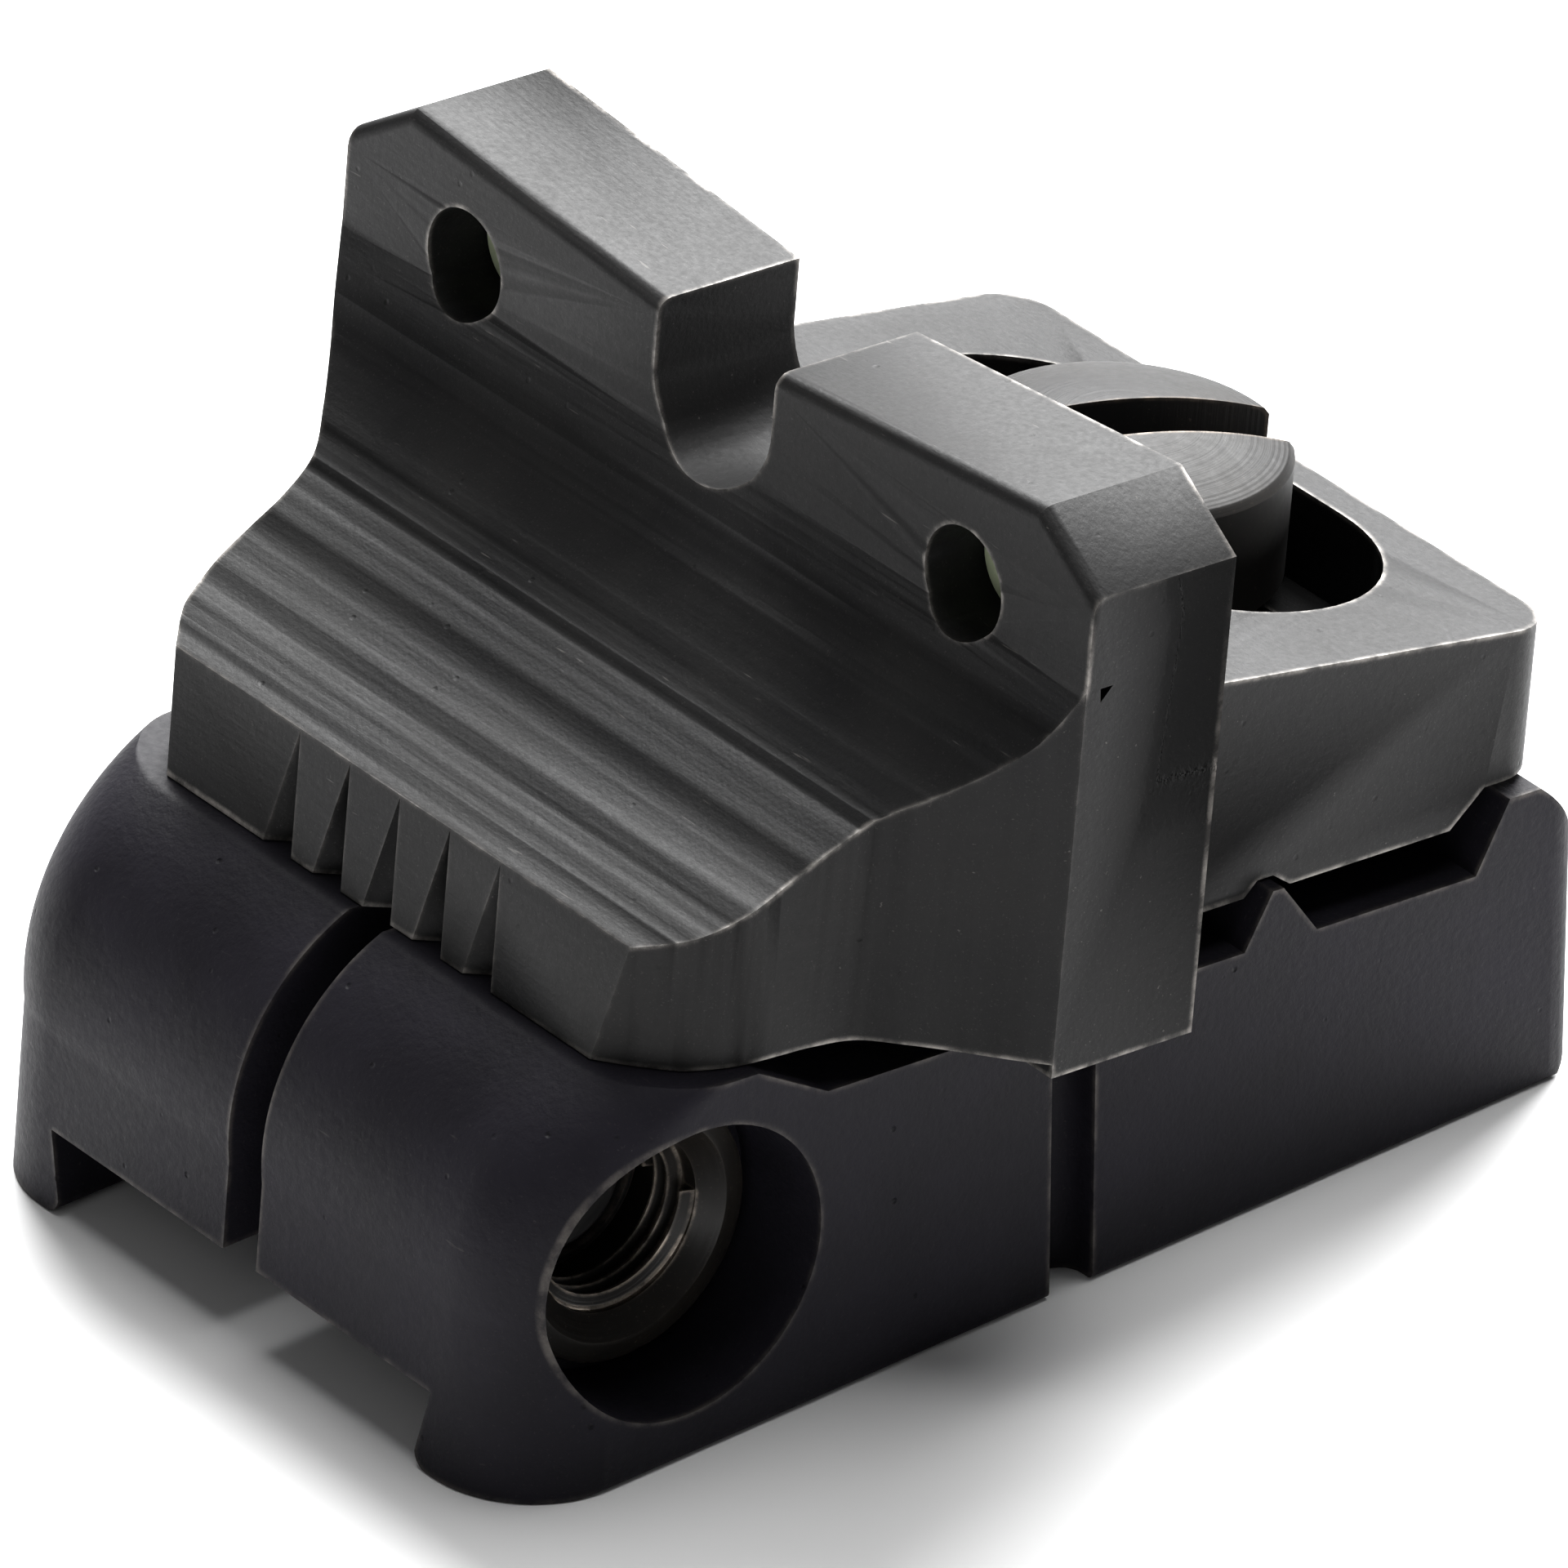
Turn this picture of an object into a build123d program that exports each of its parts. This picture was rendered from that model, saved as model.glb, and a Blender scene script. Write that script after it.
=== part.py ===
"""Adjustable open rear sight on a split dovetail clamp base.

Frame: +X to the shooter's right, +Y towards the muzzle, +Z up.  The origin is on
the centre plane, halfway along the base, on the plane of the two clamp lips' feet.
All sizes are in millimetres.
"""

import os
from math import cos, hypot, radians, sin, sqrt

from build123d import *

# ---------------------------------------------------------------- base body
BASE_LENGTH = 24.72
BASE_HALF_WIDTH = 8.0
BASE_REAR = -BASE_LENGTH / 2
BASE_FRONT = BASE_LENGTH / 2
REAR_FACE_LEAN = 0.3
SHOULDER_START_HEIGHT = 3.4
SHOULDER_MID = (-11.13, 6.35)
SHOULDER_TOP_V = -7.1
PLAN_CORNER_RADIUS = 2.3
FRONT_CORNER_RADIUS = 0.8
FOOT_INNER_RADIUS = 0.35
FOOT_OUTER_RADIUS = 0.15
SHOULDER_BEVEL_Z = 7.45
NOSE_MID = (11.94, 5.5)
NOSE_HEIGHT = 4.3
CHIN_HEIGHT = 1.0
CHIN_MID = (12.22, 0.4)
CHIN_FOOT_Y = 11.79
FORM_MARGIN = 1.0

# ---------------------------------------------------------------- rail channel
CHANNEL_ROOF = 1.63
CHANNEL_ROOF_HALF_WIDTH = 5.5
CHANNEL_MOUTH_HALF_WIDTH = 5.1

# ---------------------------------------------------------------- clamp slit and flexure
SLIT_WIDTH = 0.95
SLIT_END = 0.34
SLIT_END_RADIUS = 0.9
RELIEF_GROOVE_Y = 0.36
RELIEF_GROOVE_WIDTH = 1.0
RELIEF_GROOVE_DEPTH = 0.8

# ---------------------------------------------------------------- clamp screw line
CLAMP_Y = -8.31
CLAMP_Z = 3.8
COUNTERBORE_RADIUS = 2.9
COUNTERBORE_DEPTH = 2.25
NUT_RADIUS = 2.6
NUT_RECESS = 1.75
NUT_BODY_RADIUS = 2.05
NUT_BODY_LENGTH = 2.8
NUT_BORE_CHAMFER = 0.3
NUT_RIM_CHAMFER = 0.1
CLAMP_SCREW_RADIUS = 1.7
CLAMP_HOLE_RADIUS = 1.8
CLAMP_HEAD_RADIUS = 2.65
CLAMP_HEAD_HEIGHT = 1.25
CLAMP_SLOT_DEPTH = 0.7
CLAMP_SLOT_ANGLE = 35
CLAMP_HEAD_EDGE = 0.3
CLAMP_WASHER_RADIUS = 2.8
CLAMP_WASHER_THICKNESS = 0.4
CLAMP_SCREW_END = 4.4
THREAD_RADIUS = 1.75

# ---------------------------------------------------------------- leaf frame
LEAF_TILT = 5.07
LEAF_Y = -2.28
LEAF_Z = 6.75
SEAT_W = 0.27
SLIDE_GAP = 0.03
FLOOR_W = -0.6

# ---------------------------------------------------------------- blade
BLADE_HALF_WIDTH = 10.53
BLADE_THICKNESS = 3.22
BLADE_SHOULDER_W = 9.52
BLADE_CORNER_W = 10.6
BLADE_CORNER_IN = 1.64
NOTCH_TOP_W = 9.97
NOTCH_HALF_WIDTH = 1.65
NOTCH_BOTTOM_W = 7.15
NOTCH_RADIUS = 1.45

# ---------------------------------------------------------------- ramp and toe
TOE_TOP_V = -6.52
TOE_TOP_W = 2.6
TOE_TOP_HALF_WIDTH = 6.5
TOE_FOOT_V = -6.87
TOE_FOOT_HALF_WIDTH = 5.7
TOE_FOOT_EXTRA = 0.3
RAMP_OVERLAP = 0.5
RAMP_POINTS = [(-5.2, 3.12), (-4.0, 3.75), (-2.8, 4.4), (-1.7, 5.2), (-0.65, 6.35)]
RAMP_TOP_W = 7.7
RAMP_START_DIRECTION = (1, 0.3)
RAMP_END_DIRECTION = (0, 1)
FLARE_POINTS = [
    (7.05, -6.0),
    (7.35, -5.6),
    (7.64, -4.8),
    (7.72, -4.0),
    (7.79, -3.2),
    (8.0, -2.4),
    (8.6, -1.75),
    (9.3, -1.1),
    (10.0, -0.5),
]
INDEX_COUNT = 5
INDEX_PITCH = 1.43
INDEX_FOOT_WIDTH = 0.92
INDEX_DEPTH = 0.55
INDEX_TIP_HALF_WIDTH = 0.03
INDEX_OVERLAP = 0.05
INDEX_TIP_DEPTH = 0.02

# ---------------------------------------------------------------- front block
BLOCK_HALF_WIDTH = 7.62
BLOCK_FRONT_V = 13.9
BLOCK_TOP_W_AT_ZERO = 5.67
BLOCK_TOP_SLOPE = 0.129
BLOCK_CORNER_RADIUS = 1.0
FRONT_STEP_W = 0.95
FRONT_STEP_START_V = 11.7
FRONT_STEP_END_V = 12.45

# ---------------------------------------------------------------- guide rib and front lip
RIB_FOOT_REAR_V = 6.65
RIB_TOP_REAR_V = 7.2
RIB_TOP_FRONT_V = 7.45
RIB_FOOT_FRONT_V = 8.35
RIB_TOP_W = 0.5
GUIDE_CLEARANCE = 0.06
GUIDE_REAR_SPREAD = 0.36
GUIDE_FRONT_SPREAD = 0.5
GUIDE_OVERLAP = 0.01
LIP_TOP_FRONT_V = 13.5
LIP_FOOT_V = 12.1
LIP_TOP_V = 12.75
LIP_TOP_W = 0.8
LAND_END_V = -4.6
LAND_FOOT_V = -2.95

# ---------------------------------------------------------------- lock screw and its opening
LOCK_V = 9.9
OPENING_RADIUS = 3.2
OPENING_HALF_STRAIGHT = 2.45
OPENING_FLOOR_W = 2.1
SHANK_RADIUS = 1.96
SHANK_SLOT_RADIUS = 2.1
SCREW_HOLE_RADIUS = 2.0
HEAD_RADIUS = 3.1
HEAD_RIM_W = 5.25
HEAD_DOME_W = 5.75
HEAD_FOOT_W = 2.75
SCREW_TIP_W = -3.6
SCREW_TIP_CHAMFER = 0.3
SCREW_SLOT_WIDTH = 1.31
SCREW_SLOT_DEPTH = 1.15
SCREW_SLOT_ANGLE = 69.5
CLAMP_SLOT_WIDTH = 0.75
WASHER_RADIUS = 2.7
WASHER_THICKNESS = 0.55
WASHER_SPLIT = 0.35
WASHER_SPLIT_ANGLE = 20
WASHER_BORE_CLEARANCE = 0.06

# ---------------------------------------------------------------- luminous vials
DOT_U = 7.05
DOT_W = 8.3
DOT_HOLE_RADIUS = 1.05
DOT_HOLE_DEPTH = 2.6
VIAL_RECESS = 1.25

tilt = radians(LEAF_TILT)
FORWARD = (0, cos(tilt), -sin(tilt))
UPWARD = (0, sin(tilt), cos(tilt))
leaf_flat = Plane(origin=(0, LEAF_Y, LEAF_Z), x_dir=(1, 0, 0), z_dir=UPWARD)
leaf_side = Plane(origin=(0, LEAF_Y, LEAF_Z), x_dir=FORWARD, z_dir=(1, 0, 0))
rear_face = Plane(origin=(0, LEAF_Y, LEAF_Z), x_dir=(1, 0, 0), z_dir=(0, -cos(tilt), sin(tilt)))


def place(v, w):
    """Turn a point of the leaf's side view into base (y, z) coordinates."""
    return (
        LEAF_Y + v * cos(tilt) + w * sin(tilt),
        LEAF_Z - v * sin(tilt) + w * cos(tilt),
    )


os.makedirs("parts", exist_ok=True)

pocket_floor = BASE_HALF_WIDTH - COUNTERBORE_DEPTH
LAND_W = SEAT_W - SLIDE_GAP
shoulder_top = place(SHOULDER_TOP_V, LAND_W)
shoulder_start = (BASE_REAR + REAR_FACE_LEAN, SHOULDER_START_HEIGHT)

# ================================================================ base body
form_length = BASE_LENGTH + FORM_MARGIN
form_rear = [BASE_REAR, BASE_REAR + REAR_FACE_LEAN]

# outside of the shoulder: a plan with rounded rear corners, carried up the shoulder's
# profile without turning, so that the corners fade into a crisp side edge at the top
with BuildPart() as shoulder_form:
    with BuildSketch(Plane.XY):
        with Locations((0, form_rear[0] + form_length / 2)):
            Rectangle(2 * BASE_HALF_WIDTH, form_length)
        fillet(vertices().group_by(Axis.Y)[0], PLAN_CORNER_RADIUS)
    extrude(
        amount=hypot(REAR_FACE_LEAN, SHOULDER_START_HEIGHT),
        dir=(0, REAR_FACE_LEAN, SHOULDER_START_HEIGHT),
    )
    with BuildLine(Plane.YZ) as shoulder_line:
        ThreePointArc(shoulder_start, SHOULDER_MID, shoulder_top)
    with BuildSketch(Plane.XY.offset(SHOULDER_START_HEIGHT)):
        with Locations((0, form_rear[1] + form_length / 2)):
            Rectangle(2 * BASE_HALF_WIDTH, form_length)
        fillet(vertices().group_by(Axis.Y)[0], PLAN_CORNER_RADIUS)
    sweep(path=shoulder_line.line, normal=(0, 0, 1))

with BuildPart() as base:
    with BuildSketch(Plane.YZ):
        with BuildLine():
            Polyline(
                (BASE_REAR - FORM_MARGIN, 0),
                (BASE_REAR - FORM_MARGIN, shoulder_top[1] + FORM_MARGIN),
                shoulder_top,
                place(LAND_END_V, LAND_W),
                place(LAND_FOOT_V, FLOOR_W),
                place(RIB_FOOT_REAR_V, FLOOR_W),
                place(RIB_TOP_REAR_V, RIB_TOP_W),
                place(RIB_TOP_FRONT_V, RIB_TOP_W),
                place(RIB_FOOT_FRONT_V, FLOOR_W),
                place(LIP_FOOT_V, FLOOR_W),
                place(LIP_TOP_V, LIP_TOP_W),
                place(LIP_TOP_FRONT_V, LIP_TOP_W),
            )
            ThreePointArc(place(LIP_TOP_FRONT_V, LIP_TOP_W), NOSE_MID, (BASE_FRONT, NOSE_HEIGHT))
            Polyline((BASE_FRONT, NOSE_HEIGHT), (BASE_FRONT, CHIN_HEIGHT))
            ThreePointArc((BASE_FRONT, CHIN_HEIGHT), CHIN_MID, (CHIN_FOOT_Y, 0))
            Polyline((CHIN_FOOT_Y, 0), (BASE_REAR - FORM_MARGIN, 0))
        make_face()
    extrude(amount=BASE_HALF_WIDTH, both=True)
    add(shoulder_form.part, mode=Mode.INTERSECT)
    # rounded front corners in plan
    with BuildSketch(Plane.XY):
        with Locations((0, BASE_FRONT - BASE_LENGTH)):
            Rectangle(2 * BASE_HALF_WIDTH, 2 * BASE_LENGTH)
        fillet(vertices().group_by(Axis.Y)[-1], FRONT_CORNER_RADIUS)
    extrude(amount=2 * LEAF_Z, mode=Mode.INTERSECT)
    # cross-section: undercut rail channel, rounded feet and bevelled shoulder corners
    with BuildSketch(Plane.XZ):
        with BuildLine():
            Polyline(
                (-BASE_HALF_WIDTH, 0),
                (-CHANNEL_MOUTH_HALF_WIDTH, 0),
                (-CHANNEL_ROOF_HALF_WIDTH, CHANNEL_ROOF),
                (CHANNEL_ROOF_HALF_WIDTH, CHANNEL_ROOF),
                (CHANNEL_MOUTH_HALF_WIDTH, 0),
                (BASE_HALF_WIDTH, 0),
                (BASE_HALF_WIDTH, SHOULDER_BEVEL_Z),
                (BASE_HALF_WIDTH - LEAF_Z, SHOULDER_BEVEL_Z + LEAF_Z),
                (-BASE_HALF_WIDTH + LEAF_Z, SHOULDER_BEVEL_Z + LEAF_Z),
                (-BASE_HALF_WIDTH, SHOULDER_BEVEL_Z),
                close=True,
            )
        make_face()
        fillet(vertices().group_by(Axis.Y)[0].sort_by(Axis.X)[1:3], FOOT_INNER_RADIUS)
        fillet(vertices().group_by(Axis.Y)[0].sort_by(Axis.X)[0], FOOT_OUTER_RADIUS)
        fillet(vertices().group_by(Axis.Y)[0].sort_by(Axis.X)[-1], FOOT_OUTER_RADIUS)
    extrude(amount=BASE_LENGTH, both=True, mode=Mode.INTERSECT)
    # clamp slit with a rounded end
    with BuildSketch(Plane.XY):
        with Locations((0, (SLIT_END + 2 * BASE_REAR) / 2)):
            Rectangle(SLIT_WIDTH, SLIT_END - 2 * BASE_REAR)
        with Locations((0, SLIT_END)):
            Circle(SLIT_END_RADIUS)
    extrude(amount=LEAF_Z * 2, mode=Mode.SUBTRACT)
    # relief grooves that let the cheeks flex
    with BuildSketch(Plane.XY):
        with Locations((BASE_HALF_WIDTH, RELIEF_GROOVE_Y), (-BASE_HALF_WIDTH, RELIEF_GROOVE_Y)):
            SlotCenterToCenter(2 * RELIEF_GROOVE_DEPTH - RELIEF_GROOVE_WIDTH, RELIEF_GROOVE_WIDTH)
    extrude(amount=LEAF_Z * 2, mode=Mode.SUBTRACT)
    # clamp screw line: through hole, nut pocket on the right, head pocket on the left
    with BuildSketch(Plane.YZ):
        with Locations((CLAMP_Y, CLAMP_Z)):
            Circle(CLAMP_HOLE_RADIUS)
    extrude(amount=BASE_HALF_WIDTH, both=True, mode=Mode.SUBTRACT)
    for side in (1, -1):
        with BuildSketch(Plane.YZ.offset(side * BASE_HALF_WIDTH)):
            with Locations((CLAMP_Y, CLAMP_Z)):
                Circle(COUNTERBORE_RADIUS)
        extrude(amount=-side * COUNTERBORE_DEPTH, mode=Mode.SUBTRACT)
    with BuildSketch(Plane.YZ.offset(pocket_floor)):
        with Locations((CLAMP_Y, CLAMP_Z)):
            Circle(NUT_BODY_RADIUS)
    extrude(amount=-NUT_BODY_LENGTH, mode=Mode.SUBTRACT)
    # tapped hole for the lock screw
    with BuildSketch(leaf_flat.offset(RIB_TOP_W)):
        with Locations((0, LOCK_V)):
            Circle(SCREW_HOLE_RADIUS)
    extrude(amount=-LEAF_Z * 2, mode=Mode.SUBTRACT)

# ================================================================ sight leaf
with BuildPart() as sight_leaf:
    # ramp, drawn in side view and spread across the flare
    with BuildSketch(leaf_side):
        with BuildLine():
            Polyline((RAMP_OVERLAP, SEAT_W), (TOE_FOOT_V, SEAT_W), (TOE_TOP_V, TOE_TOP_W))
            Spline(
                (TOE_TOP_V, TOE_TOP_W),
                *RAMP_POINTS,
                (0, RAMP_TOP_W),
                tangents=(RAMP_START_DIRECTION, RAMP_END_DIRECTION),
            )
            Polyline((0, RAMP_TOP_W), (RAMP_OVERLAP, RAMP_TOP_W), (RAMP_OVERLAP, SEAT_W))
        make_face()
    extrude(amount=BLADE_HALF_WIDTH, both=True)
    # flare in plan, from the toe's corners out to the blade's ends
    with BuildSketch(leaf_flat):
        with BuildLine():
            Spline((TOE_TOP_HALF_WIDTH, TOE_TOP_V), *FLARE_POINTS, (BLADE_HALF_WIDTH, 0))
            Polyline(
                (BLADE_HALF_WIDTH, 0),
                (BLADE_HALF_WIDTH, RAMP_OVERLAP),
                (-BLADE_HALF_WIDTH, RAMP_OVERLAP),
                (-BLADE_HALF_WIDTH, 0),
            )
            mirrored = [(-u, v) for u, v in reversed(FLARE_POINTS)]
            Spline((-BLADE_HALF_WIDTH, 0), *mirrored, (-TOE_TOP_HALF_WIDTH, TOE_TOP_V))
            Polyline(
                (-TOE_TOP_HALF_WIDTH, TOE_TOP_V),
                (-TOE_FOOT_HALF_WIDTH, TOE_FOOT_V - TOE_FOOT_EXTRA),
                (TOE_FOOT_HALF_WIDTH, TOE_FOOT_V - TOE_FOOT_EXTRA),
                (TOE_TOP_HALF_WIDTH, TOE_TOP_V),
            )
        make_face()
    extrude(amount=BLADE_CORNER_W, mode=Mode.INTERSECT)
    # blade plate with sloping shoulders and broken corners
    with BuildSketch(rear_face):
        with BuildLine():
            Polyline(
                (-BLADE_HALF_WIDTH, 0),
                (-BLADE_HALF_WIDTH, BLADE_SHOULDER_W),
                (-BLADE_HALF_WIDTH + BLADE_CORNER_IN, BLADE_CORNER_W),
                (-NOTCH_HALF_WIDTH, NOTCH_TOP_W),
                (NOTCH_HALF_WIDTH, NOTCH_TOP_W),
                (BLADE_HALF_WIDTH - BLADE_CORNER_IN, BLADE_CORNER_W),
                (BLADE_HALF_WIDTH, BLADE_SHOULDER_W),
                (BLADE_HALF_WIDTH, 0),
                close=True,
            )
        make_face()
    extrude(amount=-BLADE_THICKNESS)
    # front block under the sloping top
    with BuildSketch(leaf_side):
        with BuildLine():
            Polyline(
                (BLADE_THICKNESS - RAMP_OVERLAP, SEAT_W),
                (BLADE_THICKNESS - RAMP_OVERLAP, BLOCK_TOP_W_AT_ZERO - BLOCK_TOP_SLOPE * BLADE_THICKNESS),
                (BLADE_THICKNESS, BLOCK_TOP_W_AT_ZERO - BLOCK_TOP_SLOPE * BLADE_THICKNESS),
                (BLOCK_FRONT_V, BLOCK_TOP_W_AT_ZERO - BLOCK_TOP_SLOPE * BLOCK_FRONT_V),
                (BLOCK_FRONT_V, FRONT_STEP_W),
                (FRONT_STEP_END_V, FRONT_STEP_W),
                (FRONT_STEP_START_V, SEAT_W),
                close=True,
            )
        make_face()
    extrude(amount=BLOCK_HALF_WIDTH, both=True)
    upright = sight_leaf.edges().filter_by(Axis((0, LEAF_Y, LEAF_Z), UPWARD))
    fillet(upright.sort_by(Axis.Y)[-2:], BLOCK_CORNER_RADIUS)
    # sighting notch
    with BuildSketch(rear_face):
        with BuildLine():
            Polyline(
                (-NOTCH_HALF_WIDTH, BLADE_CORNER_W),
                (-NOTCH_HALF_WIDTH, NOTCH_BOTTOM_W + NOTCH_RADIUS),
            )
            ThreePointArc(
                (-NOTCH_HALF_WIDTH, NOTCH_BOTTOM_W + NOTCH_RADIUS),
                (0, NOTCH_BOTTOM_W),
                (NOTCH_HALF_WIDTH, NOTCH_BOTTOM_W + NOTCH_RADIUS),
            )
            Polyline(
                (NOTCH_HALF_WIDTH, NOTCH_BOTTOM_W + NOTCH_RADIUS),
                (NOTCH_HALF_WIDTH, BLADE_CORNER_W),
                (-NOTCH_HALF_WIDTH, BLADE_CORNER_W),
            )
        make_face()
    extrude(amount=BLADE_THICKNESS, both=True, mode=Mode.SUBTRACT)
    # holes for the luminous vials
    with BuildSketch(rear_face):
        with Locations((DOT_U, DOT_W), (-DOT_U, DOT_W)):
            Circle(DOT_HOLE_RADIUS)
    extrude(amount=-DOT_HOLE_DEPTH, mode=Mode.SUBTRACT)
    # opening for the lock screw's head and the narrower slot for its shank
    with BuildSketch(leaf_flat.offset(OPENING_FLOOR_W)):
        with Locations((0, LOCK_V)):
            SlotCenterToCenter(2 * OPENING_HALF_STRAIGHT, 2 * OPENING_RADIUS)
    extrude(amount=BLADE_CORNER_W, mode=Mode.SUBTRACT)
    with BuildSketch(leaf_flat):
        with Locations((0, LOCK_V)):
            SlotCenterToCenter(2 * OPENING_HALF_STRAIGHT, 2 * SHANK_SLOT_RADIUS)
    extrude(amount=BLADE_CORNER_W, mode=Mode.SUBTRACT)
    # guide groove over the base's rib
    with BuildSketch(leaf_side):
        with BuildLine():
            Polyline(
                (RIB_TOP_REAR_V - GUIDE_REAR_SPREAD, SEAT_W - GUIDE_OVERLAP),
                (RIB_TOP_REAR_V - GUIDE_CLEARANCE, RIB_TOP_W + GUIDE_CLEARANCE),
                (RIB_TOP_FRONT_V + GUIDE_CLEARANCE, RIB_TOP_W + GUIDE_CLEARANCE),
                (RIB_TOP_FRONT_V + GUIDE_FRONT_SPREAD, SEAT_W - GUIDE_OVERLAP),
                close=True,
            )
        make_face()
    extrude(amount=BLADE_HALF_WIDTH, both=True, mode=Mode.SUBTRACT)
    # index grooves down the toe
    for step in range(INDEX_COUNT):
        centre = (step - (INDEX_COUNT - 1) / 2) * INDEX_PITCH
        half = INDEX_FOOT_WIDTH / 2
        with BuildSketch(leaf_flat.offset(SEAT_W)):
            with BuildLine():
                Polyline(
                    (centre - half, TOE_FOOT_V - INDEX_OVERLAP),
                    (centre, TOE_FOOT_V + INDEX_DEPTH),
                    (centre + half, TOE_FOOT_V - INDEX_OVERLAP),
                    close=True,
                )
            make_face()
        with BuildSketch(leaf_flat.offset(TOE_TOP_W)):
            with BuildLine():
                Polyline(
                    (centre - INDEX_TIP_HALF_WIDTH, TOE_TOP_V - INDEX_OVERLAP),
                    (centre, TOE_TOP_V + INDEX_TIP_DEPTH),
                    (centre + INDEX_TIP_HALF_WIDTH, TOE_TOP_V - INDEX_OVERLAP),
                    close=True,
                )
            make_face()
        loft(mode=Mode.SUBTRACT)

# ================================================================ lock screw and washer
# the head's top is one ball-shaped cap centred on the screw's own axis
dome_rise = HEAD_DOME_W - HEAD_RIM_W
dome_radius = (HEAD_RADIUS**2 + dome_rise**2) / (2 * dome_rise)
dome_mid_w = HEAD_DOME_W - dome_radius + sqrt(dome_radius**2 - (HEAD_RADIUS / 2) ** 2)

with BuildPart() as lock_screw:
    with BuildSketch(leaf_side):
        with BuildLine():
            Polyline(
                (LOCK_V, SCREW_TIP_W),
                (LOCK_V + SHANK_RADIUS - SCREW_TIP_CHAMFER, SCREW_TIP_W),
                (LOCK_V + SHANK_RADIUS, SCREW_TIP_W + SCREW_TIP_CHAMFER),
                (LOCK_V + SHANK_RADIUS, HEAD_FOOT_W),
                (LOCK_V + HEAD_RADIUS, HEAD_FOOT_W),
                (LOCK_V + HEAD_RADIUS, HEAD_RIM_W),
            )
            ThreePointArc(
                (LOCK_V + HEAD_RADIUS, HEAD_RIM_W),
                (LOCK_V + HEAD_RADIUS / 2, dome_mid_w),
                (LOCK_V, HEAD_DOME_W),
            )
            Polyline((LOCK_V, HEAD_DOME_W), (LOCK_V, SCREW_TIP_W))
        make_face()
    revolve(axis=Axis(leaf_flat.from_local_coords((0, LOCK_V, 0)), UPWARD))
    with BuildSketch(leaf_flat.offset(HEAD_DOME_W + FORM_MARGIN)):
        with Locations((0, LOCK_V)):
            Rectangle(3 * HEAD_RADIUS, SCREW_SLOT_WIDTH, rotation=SCREW_SLOT_ANGLE)
    extrude(amount=-(SCREW_SLOT_DEPTH + FORM_MARGIN), mode=Mode.SUBTRACT)

with BuildPart() as spring_washer:
    with BuildSketch(leaf_flat.offset(OPENING_FLOOR_W + SLIDE_GAP)):
        with Locations((0, LOCK_V)):
            Circle(WASHER_RADIUS)
            Circle(SHANK_RADIUS + WASHER_BORE_CLEARANCE, mode=Mode.SUBTRACT)
        with Locations((-WASHER_RADIUS, LOCK_V)):
            Rectangle(WASHER_RADIUS, WASHER_SPLIT, rotation=WASHER_SPLIT_ANGLE, mode=Mode.SUBTRACT)
    extrude(amount=WASHER_THICKNESS)

# ================================================================ clamp screw, washer and nut
nut_face = BASE_HALF_WIDTH - NUT_RECESS

with BuildPart() as clamp_nut:
    with BuildSketch(Plane.YZ.offset(pocket_floor)):
        with Locations((CLAMP_Y, CLAMP_Z)):
            Circle(NUT_RADIUS)
            Circle(THREAD_RADIUS, mode=Mode.SUBTRACT)
    extrude(amount=nut_face - pocket_floor)
    with BuildSketch(Plane.YZ.offset(pocket_floor)):
        with Locations((CLAMP_Y, CLAMP_Z)):
            Circle(NUT_BODY_RADIUS)
            Circle(THREAD_RADIUS, mode=Mode.SUBTRACT)
    extrude(amount=-NUT_BODY_LENGTH)
    rims = clamp_nut.edges().group_by(Axis.X)[-1]
    chamfer(rims.sort_by(lambda e: e.radius)[0], NUT_BORE_CHAMFER)
    chamfer(clamp_nut.edges().group_by(Axis.X)[-1].sort_by(lambda e: e.radius)[-1], NUT_RIM_CHAMFER)

with BuildPart() as clamp_washer:
    with BuildSketch(Plane.YZ.offset(-pocket_floor)):
        with Locations((CLAMP_Y, CLAMP_Z)):
            Circle(CLAMP_WASHER_RADIUS)
            Circle(CLAMP_HOLE_RADIUS, mode=Mode.SUBTRACT)
    extrude(amount=-CLAMP_WASHER_THICKNESS)

with BuildPart() as clamp_screw:
    head_seat = -pocket_floor - CLAMP_WASHER_THICKNESS
    with BuildSketch(Plane.YZ.offset(head_seat)):
        with Locations((CLAMP_Y, CLAMP_Z)):
            Circle(CLAMP_HEAD_RADIUS)
    extrude(amount=-CLAMP_HEAD_HEIGHT)
    head_rim = clamp_screw.edges().group_by(Axis.X)[0]
    fillet(head_rim, CLAMP_HEAD_EDGE)
    with BuildSketch(Plane.YZ.offset(head_seat)):
        with Locations((CLAMP_Y, CLAMP_Z)):
            Circle(CLAMP_SCREW_RADIUS)
    extrude(amount=CLAMP_SCREW_END - head_seat)
    with BuildSketch(Plane.YZ.offset(head_seat - CLAMP_HEAD_HEIGHT)):
        with Locations((CLAMP_Y, CLAMP_Z)):
            Rectangle(3 * CLAMP_HEAD_RADIUS, CLAMP_SLOT_WIDTH, rotation=CLAMP_SLOT_ANGLE)
    extrude(amount=CLAMP_SLOT_DEPTH, mode=Mode.SUBTRACT)

# ================================================================ luminous vials
vials = {}
for side_name, u in (("left", -DOT_U), ("right", DOT_U)):
    with BuildPart() as vial:
        with BuildSketch(rear_face.offset(-DOT_HOLE_DEPTH)):
            with Locations((u, DOT_W)):
                Circle(DOT_HOLE_RADIUS)
        extrude(amount=DOT_HOLE_DEPTH - VIAL_RECESS)
    vials[f"{side_name}_vial"] = vial.part

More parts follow.
